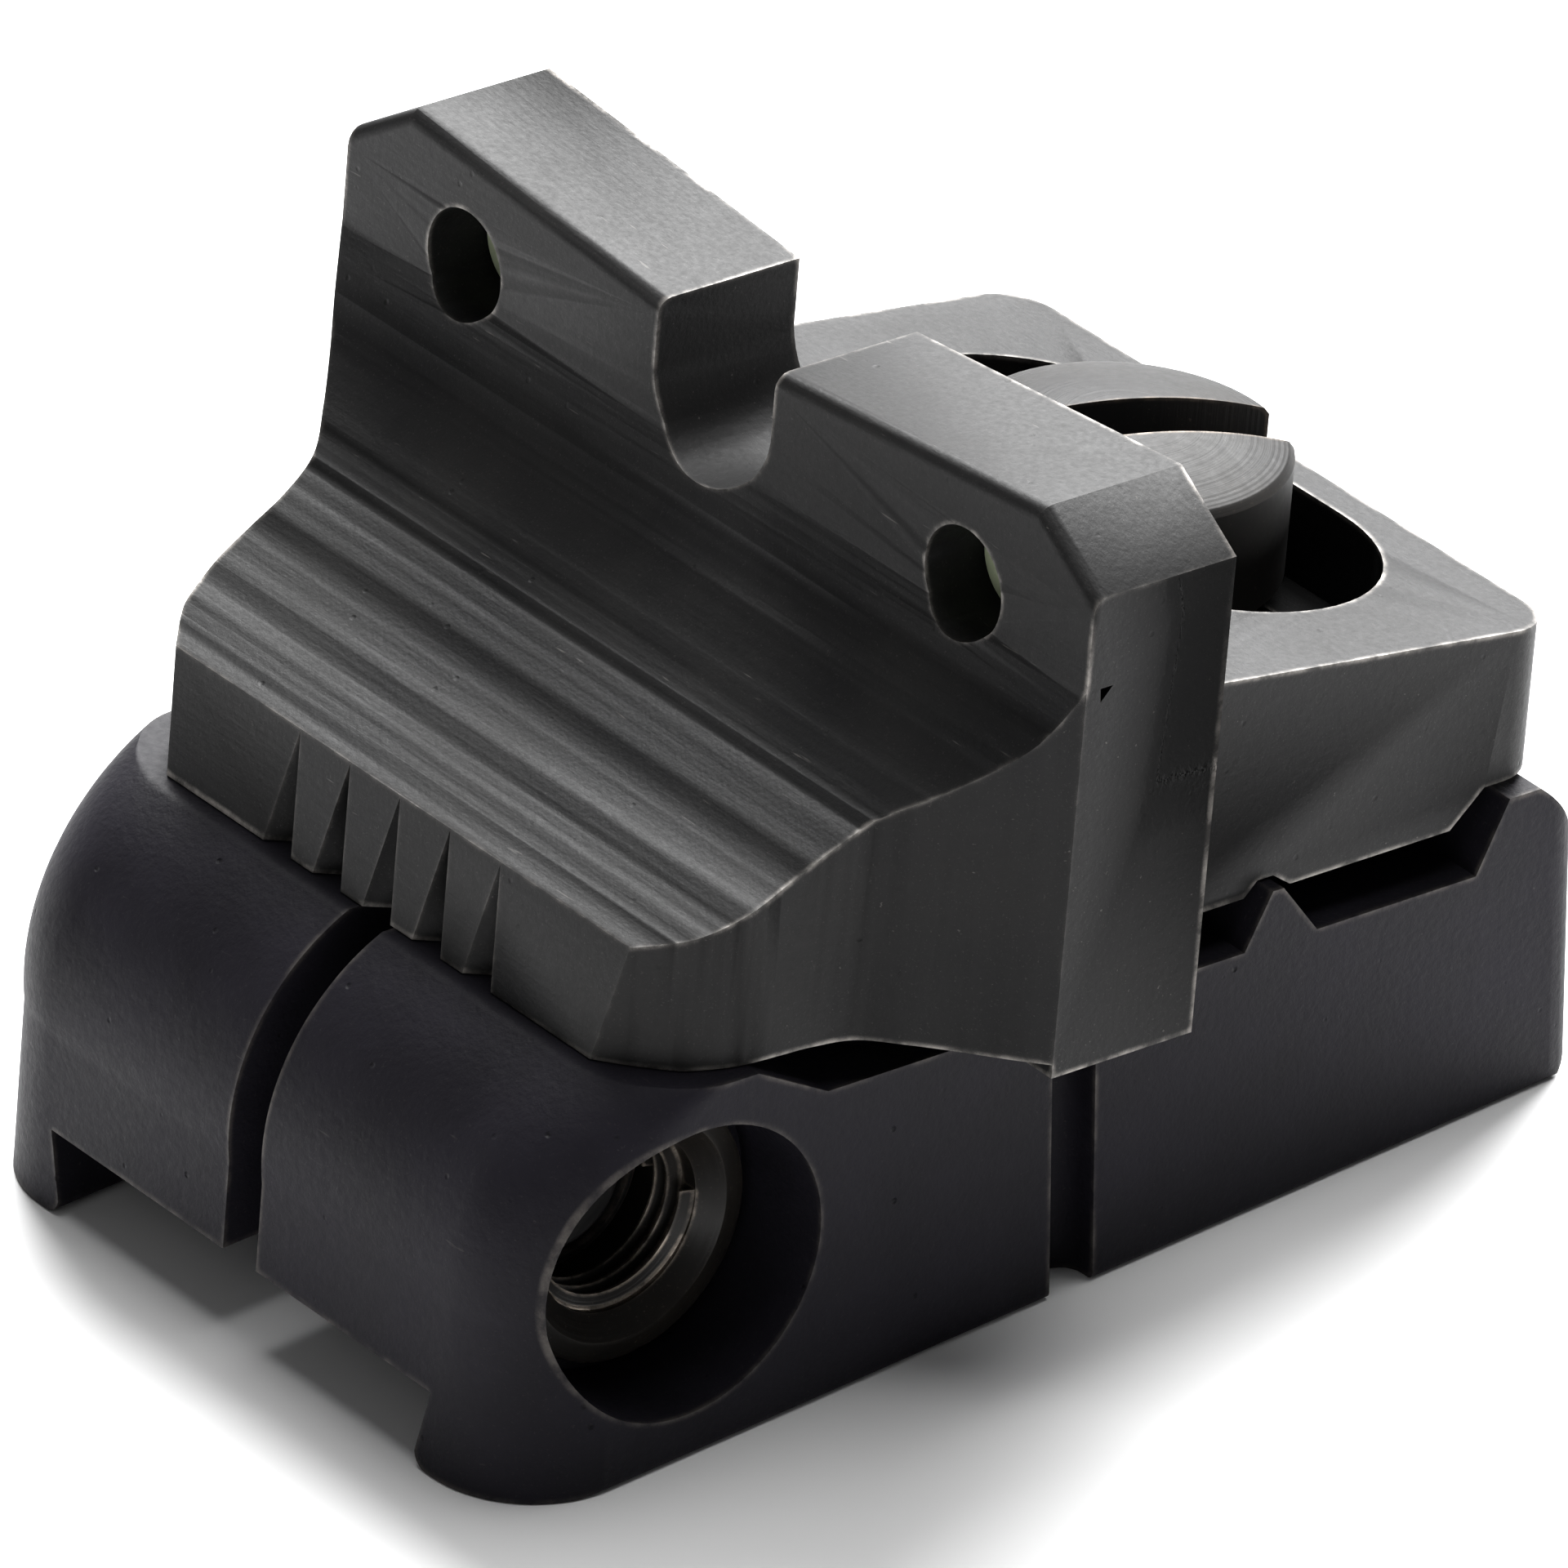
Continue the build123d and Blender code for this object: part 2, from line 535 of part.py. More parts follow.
# ================================================================ write the pieces
pieces = {
    "base": base.part,
    "sight_leaf": sight_leaf.part,
    "lock_screw": lock_screw.part,
    "spring_washer": spring_washer.part,
    "clamp_nut": clamp_nut.part,
    "clamp_washer": clamp_washer.part,
    "clamp_screw": clamp_screw.part,
    **vials,
}
for name, piece in pieces.items():
    piece.label = name
    export_step(piece, f"parts/{name}.step")
    print(name, round(piece.volume, 2))
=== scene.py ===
import logging
import math
from dataclasses import dataclass
from enum import Enum
from typing import Callable, Sequence, Union

import bpy
from mathutils import Matrix, Vector


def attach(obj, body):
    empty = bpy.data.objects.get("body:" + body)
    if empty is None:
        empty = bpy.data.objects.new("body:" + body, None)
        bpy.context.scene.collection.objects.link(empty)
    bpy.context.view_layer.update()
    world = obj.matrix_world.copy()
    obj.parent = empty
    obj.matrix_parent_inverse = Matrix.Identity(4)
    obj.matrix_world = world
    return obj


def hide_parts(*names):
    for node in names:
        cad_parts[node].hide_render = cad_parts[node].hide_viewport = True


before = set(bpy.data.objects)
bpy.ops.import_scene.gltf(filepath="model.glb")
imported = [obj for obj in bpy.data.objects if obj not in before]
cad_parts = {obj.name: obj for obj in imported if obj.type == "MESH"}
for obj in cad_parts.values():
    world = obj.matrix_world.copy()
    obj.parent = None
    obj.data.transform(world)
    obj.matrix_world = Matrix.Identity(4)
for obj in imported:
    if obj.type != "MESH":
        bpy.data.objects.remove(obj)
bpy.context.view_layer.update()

LOG = logging.getLogger("rear_sight")
MM = 0.001
Flat = tuple[float, float]
Colour = tuple[float, float, float]
X_AXIS = Vector((1, 0, 0))
Y_AXIS = Vector((0, 1, 0))
Z_AXIS = Vector((0, 0, 1))


# ---------------------------------------------------------------- where things are
@dataclass(frozen=True)
class LeafSeat:
    """The tilted seat that the leaf slides on, in millimetres."""

    tilt: float = 5.07
    y: float = -2.28
    z: float = 6.75

    @property
    def forward(self) -> Vector:
        """Direction along the leaf, towards the muzzle."""
        return Vector((0, math.cos(math.radians(self.tilt)), -math.sin(math.radians(self.tilt))))

    @property
    def upward(self) -> Vector:
        """Direction square to the seat."""
        return Vector((0, math.sin(math.radians(self.tilt)), math.cos(math.radians(self.tilt))))

    def at(self, u: float, v: float, w: float) -> Vector:
        """Turn a leaf position into a place in the frame.

        Args:
            u: Distance to the right of the centre plane.
            v: Distance forward of the blade's rear face.
            w: Height above the seat's datum.

        Returns:
            The place in the frame, in millimetres.
        """
        return Vector((u, self.y, self.z)) + self.forward * v + self.upward * w


SEAT = LeafSeat()


def arc(centre: Flat, radius: float, start: float, end: float, steps: int) -> list[Flat]:
    """Points along a circular arc.

    Args:
        centre: Middle of the circle.
        radius: Its radius.
        start: First angle in degrees.
        end: Last angle in degrees.
        steps: Number of chords.

    Returns:
        The points from first to last.
    """
    turns = [math.radians(start + (end - start) * step / steps) for step in range(steps + 1)]
    return [(centre[0] + radius * math.cos(t), centre[1] + radius * math.sin(t)) for t in turns]


def arc_through(first: Flat, middle: Flat, last: Flat, steps: int) -> list[Flat]:
    """Points along the circular arc through three points.

    Args:
        first: Where the arc starts.
        middle: A point that it passes through.
        last: Where it ends.
        steps: Number of chords.

    Returns:
        The points from first to last.
    """
    (ax, ay), (bx, by), (cx, cy) = first, middle, last
    twice = 2 * (ax * (by - cy) + bx * (cy - ay) + cx * (ay - by))
    a2, b2, c2 = ax * ax + ay * ay, bx * bx + by * by, cx * cx + cy * cy
    centre = (
        (a2 * (by - cy) + b2 * (cy - ay) + c2 * (ay - by)) / twice,
        (a2 * (cx - bx) + b2 * (ax - cx) + c2 * (bx - ax)) / twice,
    )
    start = math.degrees(math.atan2(ay - centre[1], ax - centre[0]))
    end = math.degrees(math.atan2(cy - centre[1], cx - centre[0]))
    if end > start:
        end -= 360
    return arc(centre, math.dist(first, centre), start, end, steps)


def fair_curve(points: Sequence[Flat], per_span: int) -> list[Flat]:
    """A smooth line through the points, with even tangents at each.

    Args:
        points: The points it passes through.
        per_span: Number of chords between two of them.

    Returns:
        The points of the smooth line.
    """
    line: list[Flat] = []
    padded = [points[0], *points, points[-1]]
    for index in range(len(points) - 1):
        p0, p1, p2, p3 = padded[index : index + 4]
        for step in range(per_span):
            t = step / per_span
            line.append(
                tuple(
                    0.5
                    * (
                        2 * b
                        + (c - a) * t
                        + (2 * a - 5 * b + 4 * c - d) * t * t
                        + (3 * b - a - 3 * c + d) * t**3
                    )
                    for a, b, c, d in zip(p0, p1, p2, p3)
                )
            )
    line.append(points[-1])
    return line


# ---------------------------------------------------------------- shader arithmetic
Number = Union["Value", float, int]


class Value:
    """A shader socket that works in Python arithmetic, adding Math nodes as it goes."""

    def __init__(self, recipe: "Recipe", socket: bpy.types.NodeSocket) -> None:
        """Hold a socket and the recipe that it belongs to."""
        self.recipe = recipe
        self.socket = socket

    def _math(self, operation: str, first: Number, second: Number, clamp: bool = False) -> "Value":
        """Add one Math node.

        Args:
            operation: The node's operation.
            first: Its first value.
            second: Its second value.
            clamp: Whether the result is kept from 0 to 1.

        Returns:
            The node's result.
        """
        return self.recipe.node(
            "ShaderNodeMath", {"operation": operation, "use_clamp": clamp}, {0: first, 1: second}
        )

    def __add__(self, other: Number) -> "Value":
        """Sum."""
        return self._math("ADD", self, other)

    __radd__ = __add__

    def __sub__(self, other: Number) -> "Value":
        """Difference."""
        return self._math("SUBTRACT", self, other)

    def __rsub__(self, other: Number) -> "Value":
        """Difference, the other way round."""
        return self._math("SUBTRACT", other, self)

    def __mul__(self, other: Number) -> "Value":
        """Product."""
        return self._math("MULTIPLY", self, other)

    __rmul__ = __mul__

    def __pow__(self, other: Number) -> "Value":
        """Power."""
        return self._math("POWER", self, other)

    def ramp(self, low: float, high: float) -> "Value":
        """Rise smoothly from 0 at low to 1 at high."""
        return self.recipe.node(
            "ShaderNodeMapRange",
            {"interpolation_type": "SMOOTHSTEP"},
            {"Value": self, "From Min": low, "From Max": high},
        )


class Recipe:
    """One material's nodes, with positions given in millimetres."""

    def __init__(self, name: str) -> None:
        """Start an empty material of that name."""
        self.material = bpy.data.materials.new(name)
        self.material.use_nodes = True
        self.tree = self.material.node_tree
        self.shader = self.tree.nodes["Principled BSDF"]

    def node(
        self,
        kind: str,
        settings: dict[str, object],
        sockets: dict[Union[str, int], object],
        output: Union[str, int] = 0,
    ) -> Value:
        """Add one node.

        Args:
            kind: The node's type.
            settings: Its settings, made before its sockets are filled.
            sockets: A value or a link for each socket.
            output: Which of its outputs is wanted.

        Returns:
            That output.
        """
        made = self.tree.nodes.new(kind)
        for name, setting in settings.items():
            setattr(made, name, setting)
        for name, given in sockets.items():
            if isinstance(given, Value):
                self.tree.links.new(given.socket, made.inputs[name])
            else:
                made.inputs[name].default_value = given
        return Value(self, made.outputs[output])

    def place(self) -> Value:
        """Place on the piece, in millimetres."""
        point = self.node("ShaderNodeTexCoord", {}, {}, "Object")
        return self.node("ShaderNodeVectorMath", {"operation": "SCALE"}, {0: point, "Scale": 1 / MM})

    def stretched(self, point: Value, turn: float, factors: Sequence[float]) -> Value:
        """Turn a place about X, then stretch it along each axis."""
        settings = {"vector_type": "POINT"}
        turned = self.node("ShaderNodeMapping", settings, {"Vector": point, "Rotation": (turn, 0, 0)})
        return self.node("ShaderNodeVectorMath", {"operation": "MULTIPLY"}, {0: turned, 1: tuple(factors)})

    def noise(self, point: Value, scale: float, detail: float = 3, rough: float = 0.55) -> Value:
        """Cloudy noise from 0 to 1, with that many features to the millimetre."""
        sockets = {"Vector": point, "Scale": scale, "Detail": detail, "Roughness": rough}
        return self.node("ShaderNodeTexNoise", {}, sockets)

    def cells(self, point: Value, scale: float) -> Value:
        """Distance to the nearest of scattered points."""
        return self.node("ShaderNodeTexVoronoi", {}, {"Vector": point, "Scale": scale})

    def edges(self, reach: float) -> Value:
        """How near a convex edge is, from 0 away from it to 1 on it."""
        settings = {"inside": True, "only_local": True, "samples": 8}
        open_share = self.node("ShaderNodeAmbientOcclusion", settings, {"Distance": reach * MM}, "AO")
        return 1 - open_share

    def blend(self, factor: Value, first: object, second: object) -> Value:
        """Mix two colours by a factor."""
        fill = [given if isinstance(given, Value) else (*given, 1.0) for given in (first, second)]
        return self.node("ShaderNodeMix", {"data_type": "RGBA"}, {0: factor, 6: fill[0], 7: fill[1]}, 2)

    def surface(self, **sockets: object) -> None:
        """Fill the shader's own sockets, whose names take underscores for spaces."""
        for name, given in sockets.items():
            socket = self.shader.inputs[name.replace("_", " ")]
            if isinstance(given, Value):
                self.tree.links.new(given.socket, socket)
            else:
                socket.default_value = given

    def relief(self, height: Value, depth: float) -> Value:
        """Normals of a surface that rises by depth millimetres where height is 1."""
        return self.node("ShaderNodeBump", {}, {"Strength": 1.0, "Distance": depth * MM, "Height": height})


class Tooling(Enum):
    """How a steel surface was last worked."""

    BLASTED = "blasted"
    MILLED = "milled"
    TURNED = "turned"


@dataclass(frozen=True)
class Steel:
    """A blued or bare steel surface."""

    name: str
    tooling: Tooling
    colour: Colour
    cloud_colour: Colour
    worn_colour: Colour
    roughness: float
    grain: float
    grain_depth: float
    mark_depth: float
    mark_pitch: float
    wear: float
    wear_reach: float
    specular: float = 0.3
    metallic: float = 0.0
    pits: float = 0.0
    centre: tuple[float, float, float] = (0.0, 0.0, 0.0)
    turn: tuple[float, float, float] = (0.0, 0.0, 0.0)

    def marks(self, recipe: Recipe, point: Value) -> Value:
        """Height left by the tool.

        Args:
            recipe: The material being made.
            point: Place on the piece in millimetres.

        Returns:
            A height from 0 to 1.
        """
        pitch = 1 / self.mark_pitch
        if self.tooling is Tooling.TURNED:
            settings = {"vector_type": "TEXTURE"}
            sockets = {"Vector": point, "Location": self.centre, "Rotation": self.turn}
            local = recipe.node("ShaderNodeMapping", settings, sockets)
            flat = recipe.node("ShaderNodeVectorMath", {"operation": "MULTIPLY"}, {0: local, 1: (1, 1, 0)})
            radius = recipe.node("ShaderNodeVectorMath", {"operation": "LENGTH"}, {0: flat}, "Value")
            rings = recipe.node("ShaderNodeCombineXYZ", {}, {0: radius * pitch, 1: 0.0, 2: 0.0})
            return recipe.noise(rings, 1.0, 2)
        if self.tooling is Tooling.MILLED:
            stretch = recipe.stretched(point, math.radians(SEAT.tilt), (0.06 * pitch, pitch, pitch))
            return recipe.noise(stretch, 1.0, 2)
        return recipe.noise(point, pitch, 2)

    def material(self) -> bpy.types.Material:
        """Make the material.

        Returns:
            The finished material.
        """
        recipe = Recipe(self.name)
        point = recipe.place()
        grain = recipe.noise(point, 1 / self.grain, 4, 0.62)
        cloud = recipe.noise(point, 0.32, 4)
        marks = self.marks(recipe, point)
        speck = recipe.noise(point, 2.6 / self.grain, 2, 0.7).ramp(0.6, 0.76)
        pit = 1 - recipe.cells(point, 1.7).ramp(0.03, 0.13)
        lonely = recipe.noise(point, 0.9, 2).ramp(0.5, 0.62)
        pit = pit * lonely * self.pits
        broken = recipe.noise(point, 1.5, 5, 0.7).ramp(0.36, 0.68)
        rubbed = recipe.edges(self.wear_reach).ramp(0.08, 0.5) * (broken * 0.88 + 0.12) * self.wear
        scratch_place = recipe.stretched(point, 0.6, (0.5, 5.0, 5.0))
        scratch = recipe.noise(scratch_place, 1.6, 2, 0.6).ramp(0.72, 0.78) * 0.22 * self.wear
        ground = recipe.blend(cloud.ramp(0.3, 0.72), self.colour, self.cloud_colour)
        ground = recipe.blend(speck * 0.07, ground, self.worn_colour)
        ground = recipe.blend(pit * 0.75, ground, tuple(0.25 * share for share in self.colour))
        worn = recipe.blend(scratch + rubbed, ground, self.worn_colour)
        height = grain * self.grain_depth + marks * self.mark_depth - pit * 0.03
        recipe.surface(
            Base_Color=worn,
            Metallic=rubbed * 0.7 + self.metallic,
            Roughness=self.roughness + (grain - 0.5) * 0.22 + (cloud - 0.5) * 0.16 - rubbed * 0.14,
            Specular_IOR_Level=self.specular,
            Normal=recipe.relief(height, 1.0),
        )
        return recipe.material


@dataclass(frozen=True)
class LuminousGlass:
    """The pale face of a luminous vial."""

    name: str
    colour: Colour
    rim_colour: Colour
    glow: float

    def material(self) -> bpy.types.Material:
        """Make the material.

        Returns:
            The finished material.
        """
        recipe = Recipe(self.name)
        point = recipe.place()
        cloud = recipe.noise(point, 1.1, 3)
        fleck = recipe.noise(point, 7.0, 2).ramp(0.55, 0.8)
        face = recipe.blend(cloud.ramp(0.3, 0.7), self.colour, tuple(0.82 * c for c in self.colour))
        face = recipe.blend(fleck * 0.3, face, self.rim_colour)
        recipe.surface(
            Base_Color=face,
            Roughness=0.3 + cloud * 0.2,
            Coat_Weight=0.5 + cloud * 0.2,
            Emission_Color=face,
            Emission_Strength=self.glow,
            Normal=recipe.relief(cloud + fleck * 0.4, 0.01),
        )
        return recipe.material


@dataclass(frozen=True)
class StudioPaper:
    """The pale floor's matt paper."""

    name: str
    colour: Colour

    def material(self) -> bpy.types.Material:
        """Make the material.

        Returns:
            The finished material.
        """
        recipe = Recipe(self.name)
        cloud = recipe.noise(recipe.place(), 0.02, 3)
        shade = tuple(0.985 * c for c in self.colour)
        recipe.surface(
            Base_Color=recipe.blend(cloud, self.colour, shade),
            Roughness=0.9 + cloud * 0.08,
            Specular_IOR_Level=0.1,
        )
        return recipe.material


Finish = Union[Steel, LuminousGlass, StudioPaper]


# ---------------------------------------------------------------- the workbench
class Workpiece:
    """One piece, shaped in millimetres and then settled into the frame in metres."""

    def __init__(self, obj: bpy.types.Object) -> None:
        """Hold the object being worked on."""
        self.obj = obj

    @staticmethod
    def clear() -> None:
        """Leave nothing selected."""
        bpy.ops.object.select_all(action="DESELECT")

    def hold(self) -> None:
        """Select this piece alone and make it active."""
        self.clear()
        self.obj.select_set(True)
        bpy.context.view_layer.objects.active = self.obj

    def edit(self, *, select_all: bool = True, kind: str = "VERT") -> None:
        """Go into edit mode on this piece."""
        self.hold()
        bpy.ops.object.mode_set(mode="EDIT")
        bpy.ops.mesh.select_mode(type=kind)
        if select_all:
            bpy.ops.mesh.select_all(action="SELECT")

    @staticmethod
    def leave() -> None:
        """Go back to object mode."""
        bpy.ops.object.mode_set(mode="OBJECT")

    @classmethod
    def chain(cls, name: str, line: Sequence[Vector]) -> "Workpiece":
        """Draw a line of edges, one corner after another.

        Args:
            name: The piece's name.
            line: Its corners in millimetres.

        Returns:
            The piece, still in edit mode with its last corner selected.
        """
        cls.clear()
        bpy.ops.mesh.primitive_plane_add(size=1, location=(0, 0, 0))
        piece = cls(bpy.context.object)
        piece.obj.name = name
        piece.obj.data.name = name
        piece.edit()
        bpy.ops.mesh.merge(type="CENTER")
        bpy.ops.mesh.select_all(action="SELECT")
        bpy.ops.transform.translate(value=line[0])
        for before, after in zip(line, line[1:]):
            bpy.ops.mesh.extrude_vertices_move(TRANSFORM_OT_translate={"value": after - before})
        return piece

    @classmethod
    def prism(cls, name: str, line: Sequence[Vector], depth: Vector) -> "Workpiece":
        """Draw an outline and pull it out into a solid.

        Args:
            name: The piece's name.
            line: The outline's corners in millimetres.
            depth: How far and which way it is pulled.

        Returns:
            The closed piece.
        """
        piece = cls.chain(name, line)
        bpy.ops.mesh.select_all(action="SELECT")
        bpy.ops.mesh.edge_face_add()
        bpy.ops.mesh.extrude_region_move(TRANSFORM_OT_translate={"value": depth})
        piece.mend()
        return piece

    @classmethod
    def lathe(
        cls, name: str, profile: Sequence[Flat], centre: Vector, axis: Vector, *, ring: bool, steps: int = 72
    ) -> "Workpiece":
        """Turn a profile about an axis.

        Args:
            name: The piece's name.
            profile: Radius and height of each corner.
            centre: Where the axis has height 0.
            axis: The axis, pointing up the profile.
            ring: Whether the profile closes on itself, clear of the axis.
            steps: Number of facets round.

        Returns:
            The closed piece.
        """
        out = axis.orthogonal().normalized()
        line = [centre + out * r + axis * h for r, h in profile]
        piece = cls.chain(name, [*line, line[0]] if ring else line)
        bpy.ops.mesh.select_all(action="SELECT")
        bpy.ops.mesh.remove_doubles(threshold=0.0005)
        bpy.ops.mesh.select_all(action="SELECT")
        bpy.ops.mesh.spin(steps=steps, angle=2 * math.pi, center=centre, axis=axis)
        piece.mend()
        return piece

    @classmethod
    def round_bar(cls, name: str, middle: Vector, axis: Vector, radius: float, length: float) -> "Workpiece":
        """A plain round bar, used as a cutter.

        Args:
            name: The piece's name.
            middle: Its middle in millimetres.
            axis: Its direction.
            radius: Its radius.
            length: Its length.

        Returns:
            The bar.
        """
        cls.clear()
        turn = axis.to_track_quat("Z", "Y").to_euler()
        bpy.ops.mesh.primitive_cylinder_add(
            vertices=80, radius=radius, depth=length, location=middle, rotation=turn
        )
        piece = cls(bpy.context.object)
        piece.obj.name = name
        bpy.ops.object.transform_apply(location=True, rotation=True, scale=True)
        return piece

    @classmethod
    def thread(
        cls, name: str, foot: Vector, axis: Vector, root: float, crest: float, pitch: float, turns: int
    ) -> "Workpiece":
        """The ridge of a screw thread.

        Args:
            name: The piece's name.
            foot: Where on the axis it starts.
            axis: The axis, in the direction it climbs.
            root: Radius that the ridge stands on.
            crest: Radius that it reaches.
            pitch: Climb in one turn.
            turns: Number of turns.

        Returns:
            The closed ridge.
        """
        sunk = root + math.copysign(0.05, root - crest)
        tooth = [(sunk, 0.0), (root, 0.1 * pitch), (crest, 0.44 * pitch), (crest, 0.56 * pitch), (root, 0.9 * pitch)]
        line = [Vector((r, 0, h)) for r, h in [*tooth, (sunk, pitch * 0.98)]]
        piece = cls.chain(name, [*line, line[0]])
        bpy.ops.mesh.select_all(action="SELECT")
        bpy.ops.mesh.remove_doubles(threshold=0.0005)
        cls.leave()
        screw = piece.obj.modifiers.new("helix", "SCREW")
        screw.axis = "Z"
        screw.angle = 2 * math.pi
        screw.screw_offset = pitch
        screw.iterations = turns
        screw.steps = 48
        screw.render_steps = 48
        piece.apply(screw)
        piece.edit()
        bpy.ops.mesh.fill_holes(sides=0)
        piece.mend()
        piece.obj.matrix_world = Matrix.Translation(foot) @ axis.to_track_quat("Z", "Y").to_matrix().to_4x4()
        piece.hold()
        bpy.ops.object.transform_apply(location=True, rotation=True, scale=True)
        return piece

    def mend(self) -> None:
        """Merge doubled corners, face every wall outwards and leave edit mode."""
        if bpy.context.mode != "EDIT_MESH":
            self.edit()
        bpy.ops.mesh.select_all(action="SELECT")
        bpy.ops.mesh.remove_doubles(threshold=0.0005)
        bpy.ops.mesh.normals_make_consistent(inside=False)
        self.leave()

    def apply(self, modifier: bpy.types.Modifier) -> None:
        """Make a modifier's result permanent."""
        self.hold()
        bpy.ops.object.modifier_apply(modifier=modifier.name)

    def combine(self, operation: str, *tools: "Workpiece") -> "Workpiece":
        """Cut this piece by others, join them on, or keep what they share.

        Args:
            operation: DIFFERENCE, UNION or INTERSECT.
            *tools: The other pieces, which are used up.

        Returns:
            This piece.
        """
        for tool in tools:
            step = self.obj.modifiers.new("combine", "BOOLEAN")
            step.operation = operation
            step.solver = "EXACT"
            step.object = tool.obj
            self.apply(step)
            bpy.data.objects.remove(tool.obj)
        return self

    def attach(self, *others: "Workpiece") -> "Workpiece":
        """Take other closed shells into this piece."""
        self.hold()
        for other in others:
            other.obj.select_set(True)
        bpy.ops.object.join()
        return self

    def bevel_where(self, chosen: Callable[[Vector, Vector], bool], width: float, segments: int = 3) -> None:
        """Bevel the edges picked out by their place and direction.

        Args:
            chosen: Says yes to an edge, from its middle and its direction.
            width: The bevel's width.
            segments: Its number of facets.
        """
        self.edit(select_all=False, kind="EDGE")
        bpy.ops.mesh.select_all(action="DESELECT")
        self.leave()
        corners = self.obj.data.vertices
        for edge in self.obj.data.edges:
            first, last = (corners[index].co for index in edge.vertices)
            edge.select = chosen((first + last) / 2, (last - first).normalized())
        self.edit(select_all=False, kind="EDGE")
        bpy.ops.mesh.bevel(offset=width, segments=segments, affect="EDGES", profile=0.5)
        self.leave()

    def soften(self, width: float, angle: float = 34, segments: int = 3) -> None:
        """Round every sharp edge a little.

        Args:
            width: The rounding's width.
            angle: Edges that turn more than this many degrees are rounded.
            segments: Facets across the rounding.
        """
        self.edit()
        bpy.ops.mesh.remove_doubles(threshold=0.004)
        bpy.ops.mesh.select_all(action="SELECT")
        bpy.ops.mesh.dissolve_limited(angle_limit=math.radians(0.2))
        self.leave()
        rounding = self.obj.modifiers.new("rounding", "BEVEL")
        rounding.width = width
        rounding.segments = segments
        rounding.limit_method = "ANGLE"
        rounding.angle_limit = math.radians(angle)
        rounding.miter_outer = "MITER_ARC"
        self.apply(rounding)

    def settle(self, finish: Finish, body: str, slot: str, *nodes: str) -> None:
        """Bring the piece into the frame, dress it and let it ride.

        Args:
            finish: What it is dressed in.
            body: The body it rides on.
            slot: The record's material slot; not used.
            *nodes: The CAD nodes it stands for.
        """
        self.hold()
        bpy.ops.object.shade_smooth_by_angle(angle=math.radians(34))
        even = self.obj.modifiers.new("even", "WEIGHTED_NORMAL")
        even.keep_sharp = True
        self.apply(even)
        self.obj.scale = (MM, MM, MM)
        bpy.ops.object.transform_apply(location=True, rotation=True, scale=True)
        self.obj.data.materials.clear()
        self.obj.data.materials.append(finish.material())
        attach(self.obj, body)
        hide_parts(*nodes)
        LOG.info("%s: %d faces, on %s", self.obj.name, len(self.obj.data.polygons), body)


# ---------------------------------------------------------------- finishes
BASE_FINISH = Steel(
    name="blasted_base", tooling=Tooling.BLASTED, colour=(0.0072, 0.0066, 0.0092),
    cloud_colour=(0.0115, 0.0105, 0.0150), worn_colour=(0.16, 0.145, 0.13), roughness=0.56, grain=0.16,
    grain_depth=0.016, mark_depth=0.012, mark_pitch=0.55, wear=0.45, wear_reach=0.16, specular=0.1, pits=1.0,
)
LEAF_FINISH = Steel(
    name="milled_leaf", tooling=Tooling.MILLED, colour=(0.0075, 0.0075, 0.0078),
    cloud_colour=(0.0115, 0.0113, 0.0112), worn_colour=(0.30, 0.28, 0.26), roughness=0.52, grain=0.12,
    grain_depth=0.008, mark_depth=0.006, mark_pitch=0.13, wear=0.8, wear_reach=0.15, specular=0.14, pits=0.35,
)
LOCK_SCREW_FINISH = Steel(
    name="turned_lock_screw", tooling=Tooling.TURNED, colour=(0.013, 0.0128, 0.013),
    cloud_colour=(0.022, 0.0205, 0.019), worn_colour=(0.24, 0.19, 0.15), roughness=0.5, grain=0.2,
    grain_depth=0.003, mark_depth=0.012, mark_pitch=0.1, wear=0.6, wear_reach=0.12, specular=0.12,
    centre=tuple(SEAT.at(0, 9.9, 0)), turn=(-math.radians(SEAT.tilt), 0, 0),
)
CLAMP_SCREW_FINISH = Steel(
    name="turned_clamp_screw", tooling=Tooling.TURNED, colour=(0.012, 0.012, 0.0125),
    cloud_colour=(0.02, 0.019, 0.018), worn_colour=(0.24, 0.2, 0.17), roughness=0.42, grain=0.2,
    grain_depth=0.003, mark_depth=0.012, mark_pitch=0.1, wear=0.7, wear_reach=0.14, specular=0.42,
    centre=(0, -8.31, 3.8), turn=(0, math.pi / 2, 0),
)
NUT_FINISH = Steel(
    name="turned_nut", tooling=Tooling.TURNED, colour=(0.006, 0.0054, 0.005),
    cloud_colour=(0.013, 0.0105, 0.0085), worn_colour=(0.34, 0.29, 0.24), roughness=0.36, grain=0.2,
    grain_depth=0.003, mark_depth=0.01, mark_pitch=0.12, wear=0.9, wear_reach=0.09, specular=0.25,
    centre=(0, -8.31, 3.8), turn=(0, math.pi / 2, 0),
)
WASHER_FINISH = Steel(
    name="bare_washer", tooling=Tooling.TURNED, colour=(0.10, 0.097, 0.093),
    cloud_colour=(0.16, 0.15, 0.14), worn_colour=(0.42, 0.4, 0.37), roughness=0.36, grain=0.15,
    grain_depth=0.004, mark_depth=0.006, mark_pitch=0.14, wear=0.8, wear_reach=0.1, specular=0.5, metallic=0.3,
    centre=(0, -8.31, 3.8), turn=(0, math.pi / 2, 0),
)
VIAL_FINISH = LuminousGlass(
    name="luminous_glass", colour=(0.46, 0.52, 0.34), rim_colour=(0.62, 0.66, 0.52), glow=0.05
)
FLOOR_FINISH = StudioPaper(name="studio_paper", colour=(0.92, 0.92, 0.92))


